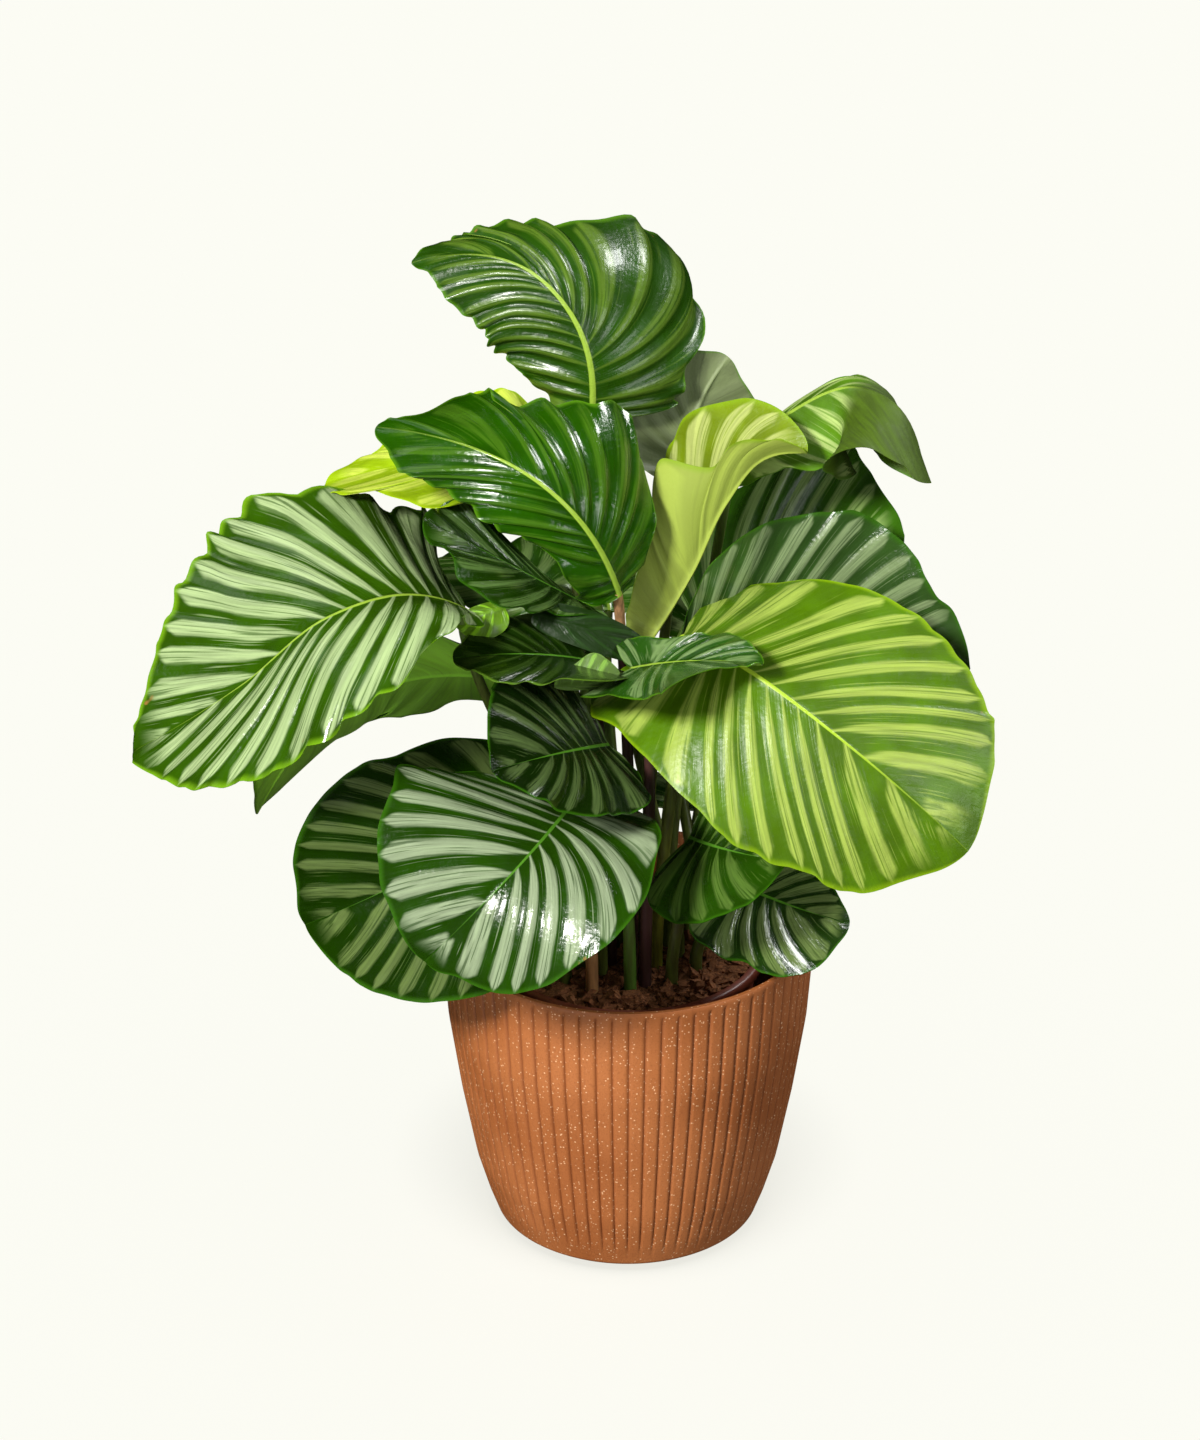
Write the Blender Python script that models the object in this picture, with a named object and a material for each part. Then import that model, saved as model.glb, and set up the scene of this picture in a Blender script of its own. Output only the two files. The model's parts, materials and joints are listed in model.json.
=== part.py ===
"""A potted prayer plant: round banded leaves on bare stalks, in a nursery pot inside a ribbed outer pot.

The model is in metres with +Z up. Its origin is the middle of the outer pot's base, and the plant's
front is at -Y. Leaves are given in centimetres by the course of the midrib and the bend of each half.
"""
from math import cos, pi, radians, sin

import bmesh
import bpy
import numpy as np

CM = 0.01
CLEARANCE = 0.0003

# Outer pot
POT_HEIGHT = 0.178
POT_RADIUS = 0.100
POT_WALL = 0.003
POT_FLOOR = 0.004
POT_SHAPE = ((0.0, 0.642), (0.03, 0.720), (0.10, 0.764), (0.22, 0.825), (0.45, 0.900),
             (0.70, 0.964), (0.975, 0.998), (1.0, 1.0))
POT_RIBS = 72
RIB_DEPTH = 0.0009
RIBS_START = 0.10
RIBS_END = 0.975
POT_INSIDE_SHARES = (1, 0.45, 0.10)
POT_FOOT_SHARE = 0.03
POT_COVE = 0.004
POT_COVE_HEIGHT = 0.002
POT_COLOUR = (0.43, 0.16, 0.06)

# Nursery pot that stands inside it
LINER_RADIUS = 0.070
LINER_FOOT = 0.052
LINER_TOP = 0.162
LINER_WALL = 0.0012
LINER_LIP = 0.0035
LINER_LIP_HEIGHT = 0.006
LINER_LIP_BEVEL = 0.001
LINER_SIDES = 48
LINER_COLOUR = (0.20, 0.055, 0.030)

# Soil
SOIL_TOP = 0.155
SOIL_HUMP = 0.004
SOIL_SIDES = 40
SOIL_RINGS = (1, 0.85, 0.6, 0.3)
SOIL_GAP = 2.5 * CLEARANCE
SOIL_COLOUR = (0.035, 0.020, 0.012)
HOLE_DEPTH = 0.025
HOLE_SIDES = 8

# Leaf blades: mesh, thickness and the midrib's keel below
BLADE_ROWS = 12
BLADE_COLUMNS = 6
BLADE_THICKNESS = 0.0011
KEEL = 0.0012
KEEL_TAPER = 0.8
COURSE_POINTS = 81
CURVE_POINTS = 400

# Outline of a flat blade: its pointed tip, the lobes beside the stalk, and the sweep of its side veins
TIP_SHARE = 0.05
TIP_REACH = 0.25
LOBE_SHARE = 0.05
LOBE_TURN = 2.2
MARGIN_POWER = 0.9
VEIN_SWEEP = 0.30
VEIN_SPREAD = 0.62

# Waves at a blade's margin: a slow swell and a quicker, lower one; the right half runs ahead of the left
QUICK_WAVES = 2.3
QUICK_SHARE = 0.4
QUICK_PHASE = 2.1
WAVE_POWER = 0.4
RIGHT_HALF_PHASE = 1.7
LEAST_BEND = 0.001

# Leaf stalks
STALK_FOOT_RADIUS = 0.0034
STALK_TOP_RADIUS = 0.0024
STALK_SIDES = 6
STALK_STEPS = 7
STALK_GAP = 0.0006
STALK_CLEAR = 0.002
STALK_RISE = 0.4
STALK_COLOUR = (0.16, 0.17, 0.06)

DARK = (0.035, 0.115, 0.030)
MID = (0.070, 0.190, 0.035)
LIGHT = (0.230, 0.400, 0.045)

# Each leaf, in centimetres and degrees.
# rib: the midrib's course from the stalk to the tip.
# face: the direction that the upper side looks in, at the middle of the midrib.
# half, lift, curl: width, rise and further bend of the left and the right half.
# roll: turn about the midrib, spread evenly from base to tip.
# wave, waves, phase: height, number and start of the margin's waves.
# root: where the stalk leaves the soil; reach: how far before its end the stalk aims for the blade.
# arrive: angle between the midrib and the stalk's end, up from the blade.
# full: how much fuller the blade is near the stalk than near the tip; tone: its colour.
LEAVES = {
    "top": dict(
        rib=[(-1.9, 3.5, 45.2), (-2.7, 3.8, 50.2), (-5.2, 5, 52.6), (-11.1, 7.5, 52)],
        face=(-0.2, -0.65, 0.75),
        half=(4, 6.7), lift=(-15, -10), curl=(-25, -45), roll=(-20, 0, 20), wave=0.35, waves=4, phase=0,
        root=(-0.6, 0.6), arrive=20, full=0.55, reach=8, tone=MID),
    "second": dict(
        rib=[(-0.5, -3, 38.2), (-4.2, -4.5, 44.8), (-12.7, 0, 46.1)], face=(-0.2, -0.6, 0.75),
        half=(4.5, 6.4), lift=(-15, -15), curl=(-35, -25), roll=(-12, 0, 12), wave=0.3, waves=4, phase=40,
        root=(0.2, -2.8), arrive=15, full=0.1, reach=6, tone=MID),
    "left_big": dict(
        rib=[(-8.2, -5, 38.3), (-11.3, -6.5, 39.8), (-15, -7.5, 39), (-19.2, -7.5, 35.4), (-25.2, -6, 30.8)],
        face=(-0.4, -0.45, 0.8),
        half=(7.2, 10), lift=(20, -5), curl=(-35, 12), roll=(12, 0, -12), wave=0.35, waves=4, phase=80,
        root=(-2.6, -1.6), arrive=45, full=0.22, reach=7, tone=MID),
    "left_mid": dict(
        rib=[(-1.9, 0, 36), (-5.5, -1.9, 39), (-10.3, -3.1, 42.5)], face=(-0.15, -0.3, 0.95),
        half=(5, 4.5), lift=(10, -5), curl=(-12, -19), roll=(20, 0, -20), wave=0.3, waves=4, phase=10,
        root=(-0.9, -1.4), arrive=45, full=0.1, reach=6, tone=DARK),
    "left_light": dict(
        rib=[(-4, 5.7, 41.8), (-9.5, 4.2, 42.4), (-15.7, 5.2, 40.7)], face=(-0.1, -0.35, 0.95),
        half=(3.2, 5), lift=(20, 2), curl=(0, -25), roll=(-15, 0, 15), wave=0.2, waves=3, phase=0,
        root=(-1.9, 0.9), arrive=45, full=0.1, reach=6, tone=LIGHT),
    "low_left_back": dict(
        rib=[(-4.5, -5, 27.5), (-10.2, -7, 24.7), (-16.7, -6, 20.8)], face=(-0.15, -0.9, 0.4),
        half=(7.1, 6.5), lift=(10, 25), curl=(-20, 0), roll=(0, 0, 0), wave=0.12, waves=4, phase=0,
        root=(-3.3, -2.9), arrive=45, full=0.1, reach=4, tone=DARK),
    "low_left_front": dict(
        rib=[(-2.8, -7, 28.5), (-6, -13, 27.5), (-10.2, -13.5, 23)], face=(-0.05, -0.8, 0.6),
        half=(6.5, 7.3), lift=(15, 10), curl=(-18, -18), roll=(20, 0, -20), wave=0.15, waves=4, phase=50,
        root=(-1.9, -3.9), arrive=45, full=0.1, reach=4, tone=DARK),
    "centre_low": dict(
        rib=[(-1.1, -5.6, 31), (-3.7, -8.9, 32.2), (-6.8, -11.6, 32.7)], face=(-0.13, -0.72, 0.68),
        half=(4.8, 5.2), lift=(16, 12), curl=(-6, -16), roll=(0, 0, 0), wave=0.2, waves=4, phase=0,
        root=(0.1, -4.1), arrive=20, full=0.1, reach=2.5, tone=DARK),
    "centre_left": dict(
        rib=[(-1.9, -4.6, 35.2), (-5, -6.2, 36.4), (-8.8, -7, 36.6)], face=(0, -0.35, 0.95),
        half=(3.6, 3), lift=(20, 5), curl=(7, -22), roll=(8, 0, -8), wave=0.2, waves=3, phase=0,
        root=(-1.4, -2.2), arrive=60, full=0.1, reach=5, tone=DARK),
    "centre_right": dict(
        rib=[(0.2, -5.8, 35.4), (3, -7.2, 36.5), (6.5, -9.3, 37.4)], face=(0.1, -0.25, 0.95),
        half=(2.4, 3.8), lift=(20, 25), curl=(-10, -15), roll=(8, 0, -8), wave=0.2, waves=3, phase=0,
        root=(0.9, -3.4), arrive=80, full=0.1, reach=3.5, tone=MID),
    "left_under": dict(
        rib=[(-6, -1, 32.5), (-13.5, 0, 31.2), (-19.4, -1, 24.6)], face=(-0.2, 0.8, 0.55),
        half=(5.2, 6.3), lift=(3, 5), curl=(-18, 20), roll=(5, 0, -25), wave=0.3, waves=3, phase=0,
        root=(-3.8, -0.9), arrive=-20, full=0.1, reach=3, tone=MID),
    "right_big": dict(
        rib=[(2.7, -3.1, 35.9), (6, -7.3, 36), (11.9, -10, 32.3), (16.9, -10.5, 27.6)],
        face=(0.25, -0.7, 0.68),
        half=(8.4, 7.4), lift=(-3, -12), curl=(4, -15), roll=(-10, 0, 10), wave=0.12, waves=4, phase=0,
        root=(1.5, -1.7), arrive=75, full=-0.2, reach=3, tone=LIGHT),
    "right_dark": dict(
        rib=[(2.5, 0, 33.7), (10.2, 1.3, 32.7), (17.4, -2.3, 33.7)], face=(0.1, -0.88, 0.47),
        half=(7.8, 7), lift=(28, 10), curl=(-12, -15), roll=(10, 0, -10), wave=0.2, waves=4, phase=0,
        root=(2.7, -0.5), arrive=45, full=0.1, reach=6, tone=DARK),
    "right_upper": dict(
        rib=[(3.3, 6, 32.7), (8.8, 6, 35), (14.3, 4, 38.3)], face=(0.08, -0.62, 0.78),
        half=(8, 5.5), lift=(-2, 10), curl=(-23, -15), roll=(-15, 0, 15), wave=0.3, waves=4, phase=0,
        root=(3.9, 0.4), arrive=45, full=0.1, reach=6, tone=DARK),
    "low_right_front": dict(
        rib=[(3.2, -4.2, 24.9), (5.4, -6.8, 25.5), (8, -8.2, 25.7)], face=(0.17, -0.82, 0.55),
        half=(3.5, 4.8), lift=(10, 24), curl=(-15, -9), roll=(0, 0, 0), wave=0.15, waves=3, phase=0,
        root=(2.3, -3.2), arrive=45, full=0.1, reach=3, tone=DARK),
    "low_right_back": dict(
        rib=[(5.6, -1.5, 20.7), (8.3, -3.8, 20.7), (11.5, -4.6, 20)], face=(0.14, -0.74, 0.66),
        half=(2.5, 5), lift=(7, 18), curl=(-18, 6), roll=(-8, 0, 8), wave=0.15, waves=3, phase=0,
        root=(3.6, -1.7), arrive=45, full=0.1, reach=2, tone=DARK),
    "rolled": dict(
        rib=[(1.0, -0.3, 34.3), (3.1, 0.7, 37.5), (4.9, 0.7, 41.6), (6.8, 0.2, 44.3), (8.9, -0.8, 45)],
        face=(-0.85, -0.1, 0.5),
        half=(5, 4.6), lift=(25, 70), curl=(30, 80), roll=(0, 0, 0), wave=0.1, waves=2, phase=0,
        root=(1.0, -1.0), arrive=35, full=0.1, reach=6, tone=LIGHT),
    "behind_top": dict(
        rib=[(2.8, 5, 41), (3.6, 7, 44.2), (5.2, 8, 46.6)], face=(0.1, 0.8, 0.5),
        half=(3.4, 3.8), lift=(5, 5), curl=(-20, -20), roll=(0, 0, 0), wave=0.2, waves=3, phase=0,
        root=(0.9, 1.3), arrive=-10, full=0.1, reach=6, tone=MID),
    "folding": dict(
        rib=[(5, 4, 42), (8.2, 3, 45.6), (11.3, 1.5, 47.6), (13.4, 0, 47.2), (14.8, -1, 43.5)],
        face=(0, -0.5, 0.85),
        half=(2.6, 3.4), lift=(-20, -20), curl=(-30, -30), roll=(0, 0, 0, -60, -110), wave=0.3, waves=3,
        phase=0, root=(2.1, 0.7), arrive=30, full=0.1, reach=8, tone=MID),
    "back_left_high": dict(
        rib=[(-4.5, 3.5, 34), (-8.5, 7, 35.5), (-13, 10, 32)], face=(-0.3, 0.35, 0.9),
        half=(4.8, 4.8), lift=(10, 10), curl=(-25, -25), roll=(0, 0, 0), wave=0.25, waves=4, phase=30,
        root=(-3.2, 1.3), arrive=45, full=0.1, reach=5, tone=MID),
    "back_centre": dict(
        rib=[(-1, 7, 32.5), (-1.5, 11.5, 33.5), (-2.5, 16, 28.5)], face=(0.05, 0.5, 0.85),
        half=(4, 4), lift=(12, 12), curl=(-30, -30), roll=(0, 0, 0), wave=0.25, waves=4, phase=60,
        root=(-0.3, 2.6), arrive=45, full=0.1, reach=5, tone=MID),
    "back_right_high": dict(
        rib=[(3.5, 8, 30), (8.5, 12, 31), (13, 15, 27)], face=(0.3, 0.4, 0.85),
        half=(5, 5), lift=(10, 10), curl=(-25, -25), roll=(0, 0, 0), wave=0.25, waves=4, phase=0,
        root=(1.8, 3.4), arrive=45, full=0.1, reach=5, tone=DARK),
    "back_right_low": dict(
        rib=[(4.2, 3.8, 25.5), (9, 7, 26), (13.5, 10, 21.5)], face=(0.3, 0.5, 0.8),
        half=(4.5, 4.5), lift=(10, 10), curl=(-25, -25), roll=(0, 0, 0), wave=0.2, waves=3, phase=90,
        root=(3.3, 2.2), arrive=45, full=0.1, reach=4, tone=DARK),
    "back_left_low": dict(
        rib=[(-3, 4.5, 22.5), (-7.5, 8, 23), (-12, 10.5, 18.5)], face=(-0.3, 0.5, 0.8),
        half=(4.5, 4.5), lift=(10, 10), curl=(-25, -25), roll=(0, 0, 0), wave=0.2, waves=3, phase=45,
        root=(-2.4, 3.4), arrive=45, full=0.1, reach=3, tone=DARK),
    "back_low": dict(
        rib=[(2.5, 7, 20.5), (5, 11, 20.5), (8, 14, 16.5)], face=(0.1, 0.5, 0.85),
        half=(4.2, 4.2), lift=(10, 10), curl=(-25, -25), roll=(0, 0, 0), wave=0.2, waves=3, phase=10,
        root=(1.4, 4.3), arrive=45, full=0.1, reach=3, tone=DARK),
}


def unit(vectors):
    """The vectors at length 1, along the last axis."""
    return vectors / np.linalg.norm(vectors, axis=-1, keepdims=True)


def smooth_course(points, count):
    """Evenly spaced points along a smooth curve through the given ones, and its length."""
    knots = np.array(points, float)
    last = len(knots) - 1
    spans = np.linalg.norm(np.diff(knots, axis=0), axis=1) ** 0.75
    at = np.concatenate([[0], np.cumsum(spans)])
    slopes = np.diff(knots, axis=0) / spans[:, None]
    tangents = np.zeros_like(knots)
    for i in range(1, last):
        tangents[i] = (spans[i] * slopes[i - 1] + spans[i - 1] * slopes[i]) / (spans[i] + spans[i - 1])
    tangents[0] = 2 * slopes[0] - tangents[1]
    tangents[-1] = 2 * slopes[-1] - tangents[-2]
    fine = np.linspace(0, at[-1], CURVE_POINTS)
    span = np.clip(np.searchsorted(at, fine, side="right") - 1, 0, last - 1)
    width = spans[span][:, None]
    s = (fine - at[span])[:, None] / width
    curve = ((2 * s**3 - 3 * s**2 + 1) * knots[span] + (s**3 - 2 * s**2 + s) * width * tangents[span]
             + (3 * s**2 - 2 * s**3) * knots[span + 1] + (s**3 - s**2) * width * tangents[span + 1])
    run = np.concatenate([[0], np.cumsum(np.linalg.norm(np.diff(curve, axis=0), axis=1))])
    even = np.linspace(0, run[-1], count)
    return np.stack([np.interp(even, run, curve[:, axis]) for axis in range(3)], axis=1), run[-1]


def rib_frame(leaf, count=COURSE_POINTS):
    """Along the midrib: points, direction, the way the upper side looks, the way right, and its length."""
    course, length = smooth_course(np.array(leaf["rib"]) * CM, count)
    along = unit(np.gradient(course, axis=0))
    up = np.zeros_like(course)
    middle = count // 2
    face = np.array(leaf["face"], float)
    up[middle] = unit(face - face @ along[middle] * along[middle])
    for i in range(middle + 1, count):
        up[i] = unit(up[i - 1] - up[i - 1] @ along[i] * along[i])
    for i in range(middle - 1, -1, -1):
        up[i] = unit(up[i + 1] - up[i + 1] @ along[i] * along[i])
    roll = np.array(leaf["roll"], float)
    turn = np.radians(np.interp(np.linspace(0, 1, count), np.linspace(0, 1, len(roll)), roll))[:, None]
    up = up * np.cos(turn) + np.cross(along, up) * np.sin(turn)
    return course, along, up, np.cross(along, up), length


def flat_blade(leaf, length, m, v):
    """Places on the flat blade, along and across the midrib, for vein m (0 to 1) and share v (-1 to 1)."""
    t = np.abs(v)
    half = np.where(v < 0, leaf["half"][0], leaf["half"][1]) * CM
    a = pi * m
    point = TIP_SHARE * np.exp(-((pi - a) / TIP_REACH) ** 2)
    lobe = LOBE_SHARE * np.sin(np.minimum(LOBE_TURN * a, pi))
    margin_x = length * ((1 - TIP_SHARE) * (1 - np.cos(a)) / 2 + point - lobe)
    margin_y = half * np.maximum(np.sin(a), 0) ** MARGIN_POWER * (1 + leaf["full"] * np.cos(a))
    foot_x = length * ((1 - TIP_SHARE) * m**2 + point)
    knee_x = foot_x + VEIN_SWEEP * (margin_x - foot_x)
    knee_y = VEIN_SPREAD * margin_y
    x = (1 - t) ** 2 * foot_x + 2 * t * (1 - t) * knee_x + t**2 * margin_x
    y = 2 * t * (1 - t) * knee_y + t**2 * margin_y
    return x, y * np.sign(v)


def blade_points(leaf, m, v):
    """Places in space and the upper side's direction for veins m and shares v, with the margin's waves."""
    course, along, up, right, length = rib_frame(leaf)
    x, y = flat_blade(leaf, length, m, v)
    u = np.clip(x / length, 0, 1)
    steps = np.linspace(0, 1, len(course))

    def read(vectors):
        return np.stack([np.interp(u, steps, vectors[:, axis]) for axis in range(3)], axis=-1)

    ahead = unit(read(along))
    over = unit(read(up))
    aside = unit(read(right))
    side = (v > 0).astype(int)
    sign = 2 * side - 1
    lift = np.radians(np.array(leaf["lift"], float))[side]
    bend = np.radians(np.array(leaf["curl"], float))[side] / (np.array(leaf["half"]) * CM)[side]
    bend = np.where(np.abs(bend) < LEAST_BEND, LEAST_BEND, bend)
    angle = lift + bend * np.abs(y)
    out = (sign * (np.sin(angle) - np.sin(lift)) / bend)[..., None]
    rise = ((np.cos(lift) - np.cos(angle)) / bend)[..., None]
    places = read(course) + (x - u * length)[..., None] * ahead + out * aside + rise * over
    looks = over * np.cos(angle)[..., None] - aside * (sign * np.sin(angle))[..., None]
    height = leaf["wave"] * CM * v**2 * np.maximum(np.sin(pi * m), 0) ** WAVE_POWER
    wave = (height * margin_swell(leaf, m, side))[..., None]
    return places + wave * looks, looks


def margin_swell(leaf, m, side):
    """Height of the margin's waves, as a share, at vein m of the left (0) or right (1) half."""
    phase = radians(leaf["phase"]) + RIGHT_HALF_PHASE * side
    turns = 2 * pi * leaf["waves"] * m
    return np.sin(turns + phase) + QUICK_SHARE * np.sin(QUICK_WAVES * turns + QUICK_PHASE * phase)


def blade_faces(rows, columns):
    """Triangles of a closed blade: upper side, the same ones on the lower side, and the rim between."""
    inner = (rows - 1) * (columns + 1)
    base = 0
    tip = inner + 1
    lower = inner + 2

    def at(row, column):
        return 1 + (row - 1) * (columns + 1) + column

    upper_side = []
    for column in range(columns):
        upper_side.append((base, at(1, column), at(1, column + 1)))
        upper_side.append((tip, at(rows - 1, column + 1), at(rows - 1, column)))
    for row in range(1, rows - 1):
        for column in range(columns):
            a = at(row, column)
            b = at(row + 1, column)
            c = at(row + 1, column + 1)
            d = at(row, column + 1)
            if column < columns // 2:
                upper_side += [(a, b, c), (a, c, d)]
            else:
                upper_side += [(a, b, d), (b, c, d)]
    faces = list(upper_side)
    faces += [(c + lower, b + lower, a + lower) for a, b, c in upper_side]
    rim = [base] + [at(row, 0) for row in range(1, rows)] + [tip]
    rim += [at(row, columns) for row in range(rows - 1, 0, -1)]
    for a, b in zip(rim, rim[1:] + rim[:1]):
        faces += [(a, a + lower, b + lower), (a, b + lower, b)]
    return faces


def new_object(name, vertices, faces, colour, roughness):
    """A closed mesh object with its own material, its faces turned outward."""
    mesh = bpy.data.meshes.new(name)
    mesh.from_pydata([tuple(map(float, vertex)) for vertex in vertices], [], faces)
    build = bmesh.new()
    build.from_mesh(mesh)
    bmesh.ops.recalc_face_normals(build, faces=build.faces)
    build.to_mesh(mesh)
    build.free()
    mesh.shade_smooth()
    mesh.set_sharp_from_angle(angle=radians(40))
    thing = bpy.data.objects.new(name, mesh)
    bpy.context.scene.collection.objects.link(thing)
    thing.data.materials.append(new_material(name, colour, roughness))
    return thing


def new_material(name, colour, roughness):
    """A plain material of its own for one object."""
    material = bpy.data.materials.new(name)
    material.use_nodes = True
    shader = material.node_tree.nodes["Principled BSDF"]
    shader.inputs["Base Color"].default_value = (*colour, 1)
    shader.inputs["Roughness"].default_value = roughness
    return material


def build_blade(name, leaf):
    """One leaf: a thin arched blade with waved margins and a midrib that stands out below."""
    veins = np.linspace(0, 1, BLADE_ROWS + 1)
    shares = np.linspace(-1, 1, BLADE_COLUMNS + 1)
    m, v = np.meshgrid(veins, shares, indexing="ij")
    places, looks = blade_points(leaf, m, v)
    middle = BLADE_COLUMNS // 2
    below = np.full(m.shape, BLADE_THICKNESS / 2)
    below[:, middle] += KEEL * (1 - KEEL_TAPER * m[:, middle])

    def layer(points):
        ring = points[1:-1].reshape(-1, 3)
        return np.concatenate([points[0, middle][None], ring, points[-1, middle][None]])

    upper = layer(places + looks * BLADE_THICKNESS / 2)
    lower = layer(places - looks * below[..., None])
    return new_object("leaf_" + name, np.concatenate([upper, lower]),
                      blade_faces(BLADE_ROWS, BLADE_COLUMNS), leaf["tone"], 0.35)


def stalk_course(leaf):
    """The middle line of the stalk, out of its hole and in an arch to the blade, and its last direction."""
    course, along, up, _, _ = rib_frame(leaf)
    slant = radians(leaf["arrive"])
    arrival = along[0] * cos(slant) + up[0] * sin(slant)
    foot = np.array([leaf["root"][0] * CM, leaf["root"][1] * CM, SOIL_TOP - HOLE_DEPTH])
    mouth = foot + (0, 0, HOLE_DEPTH + SOIL_HUMP + STALK_CLEAR)
    end = course[0] - along[0] * (STALK_GAP + STALK_TOP_RADIUS * abs(sin(slant)))
    knee = mouth + (0, 0, STALK_RISE * (end[2] - mouth[2]))
    shoulder = end - arrival * leaf["reach"] * CM
    t = np.linspace(0, 1, STALK_STEPS + 1)[:, None]
    arch = ((1 - t) ** 3 * mouth + 3 * t * (1 - t) ** 2 * knee + 3 * t**2 * (1 - t) * shoulder + t**3 * end)
    return np.concatenate([foot[None], arch]), arrival


def build_stalk(name, leaf):
    """One leaf stalk, a tapered tube of few sides."""
    course, arrival = stalk_course(leaf)
    ahead = unit(np.gradient(course, axis=0))
    ahead[:2] = (0, 0, 1)
    ahead[-1] = arrival
    radii = np.linspace(STALK_FOOT_RADIUS, STALK_TOP_RADIUS, len(course))
    aside = np.array([1.0, 0, 0])
    rings = []
    for centre, way, radius in zip(course, ahead, radii):
        aside = unit(aside - aside @ way * way)
        other = np.cross(way, aside)
        for side in range(STALK_SIDES):
            turn = 2 * pi * side / STALK_SIDES
            rings.append(centre + radius * (cos(turn) * aside + sin(turn) * other))
    faces = [tuple(range(STALK_SIDES - 1, -1, -1))]
    for ring in range(len(course) - 1):
        for side in range(STALK_SIDES):
            a = ring * STALK_SIDES + side
            b = ring * STALK_SIDES + (side + 1) % STALK_SIDES
            faces += [(a, b, b + STALK_SIDES), (a, b + STALK_SIDES, a + STALK_SIDES)]
    last = (len(course) - 1) * STALK_SIDES
    faces.append(tuple(range(last, last + STALK_SIDES)))
    return new_object("stalk_" + name, rings, faces, STALK_COLOUR, 0.5)


def turned(profile, sides, relief=None):
    """Vertices and faces of a closed turned shape; the profile's first and last points are on the axis."""
    vertices = [(0, 0, profile[0][1])]
    for radius, z in profile[1:-1]:
        for side in range(sides):
            r = radius - (relief(radius, z, side) if relief else 0)
            turn = 2 * pi * side / sides
            vertices.append((r * cos(turn), r * sin(turn), z))
    vertices.append((0, 0, profile[-1][1]))
    end = len(vertices) - 1
    faces = []
    for side in range(sides):
        after = (side + 1) % sides
        faces.append((0, 1 + after, 1 + side))
        for ring in range(len(profile) - 3):
            a = 1 + ring * sides + side
            b = 1 + ring * sides + after
            faces.append((a, b, b + sides, a + sides))
        last = end - sides
        faces.append((end, last + side, last + after))
    return vertices, faces


def pot_radius(share):
    """Outer radius of the outer pot at a share of its height."""
    shares, radii = zip(*POT_SHAPE)
    return POT_RADIUS * float(np.interp(share, shares, radii))


def build_outer_pot():
    """The outer pot: rounded foot, ribbed wall, thin plain lip, open top."""
    outside = [(POT_RADIUS * radius, POT_HEIGHT * share) for share, radius in POT_SHAPE]
    inside = [(pot_radius(share) - POT_WALL, POT_HEIGHT * share) for share in POT_INSIDE_SHARES]
    floor_edge = pot_radius(POT_FOOT_SHARE) - POT_WALL
    inside += [(floor_edge, POT_FLOOR + POT_COVE_HEIGHT), (floor_edge - POT_COVE, POT_FLOOR)]
    profile = [(0, 0)] + outside + inside + [(0, POT_FLOOR)]

    def groove(radius, z, side):
        share = z / POT_HEIGHT
        outer = radius > pot_radius(share) - POT_WALL / 2
        return RIB_DEPTH if outer and RIBS_START < share < RIBS_END and side % 2 else 0

    vertices, faces = turned(profile, 2 * POT_RIBS, groove)
    return new_object("outer_pot", vertices, faces, POT_COLOUR, 0.6)


def liner_base():
    """Height of the nursery pot's underside."""
    return POT_FLOOR + CLEARANCE


def liner_radius(z):
    """Outer radius of the nursery pot at a height."""
    share = (z - liner_base()) / (LINER_TOP - liner_base())
    return LINER_FOOT + (LINER_RADIUS - LINER_FOOT) * share


def build_liner():
    """The nursery pot: a thin tapered pot with a stepped lip, standing on the outer pot's floor."""
    base = liner_base()
    floor = base + 2 * LINER_WALL
    lip_foot = LINER_TOP - LINER_LIP_HEIGHT
    lip = LINER_RADIUS + LINER_LIP
    profile = [(0, base), (LINER_FOOT, base), (liner_radius(lip_foot), lip_foot),
               (lip - LINER_LIP_BEVEL, lip_foot), (lip, LINER_TOP - LINER_LIP_BEVEL),
               (lip - LINER_LIP_BEVEL, LINER_TOP), (LINER_RADIUS - LINER_WALL, LINER_TOP),
               (LINER_FOOT - LINER_WALL, floor), (0, floor)]
    vertices, faces = turned(profile, LINER_SIDES)
    return new_object("nursery_pot", vertices, faces, LINER_COLOUR, 0.5)


def build_soil():
    """The soil: a plug that fills the nursery pot, humped in the middle, with a plain hole for each stalk."""
    base = liner_base() + 2 * LINER_WALL + CLEARANCE
    shrink = LINER_WALL + SOIL_GAP
    foot = liner_radius(base) - shrink
    top = liner_radius(SOIL_TOP) - shrink
    slope = [(top * share, SOIL_TOP + SOIL_HUMP * (1 - share**2)) for share in SOIL_RINGS]
    profile = [(0, base), (foot, base)] + slope + [(0, SOIL_TOP + SOIL_HUMP)]
    vertices, faces = turned(profile, SOIL_SIDES)
    soil = new_object("soil", vertices, faces, SOIL_COLOUR, 0.95)
    holes = bpy.data.collections.new("stalk_holes")
    bpy.context.scene.collection.children.link(holes)
    for name, leaf in LEAVES.items():
        bpy.ops.mesh.primitive_cylinder_add(
            vertices=HOLE_SIDES, radius=STALK_FOOT_RADIUS + 2 * CLEARANCE, depth=2 * HOLE_DEPTH,
            location=(leaf["root"][0] * CM, leaf["root"][1] * CM, SOIL_TOP - CLEARANCE))
        hole = bpy.context.active_object
        hole.name = "hole_" + name
        for owner in hole.users_collection:
            owner.objects.unlink(hole)
        holes.objects.link(hole)
        hole.hide_render = True
        hole.display_type = "WIRE"
    cut = soil.modifiers.new("Stalk holes", "BOOLEAN")
    cut.operation = "DIFFERENCE"
    cut.operand_type = "COLLECTION"
    cut.collection = holes
    cut.solver = "EXACT"
    return soil


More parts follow.
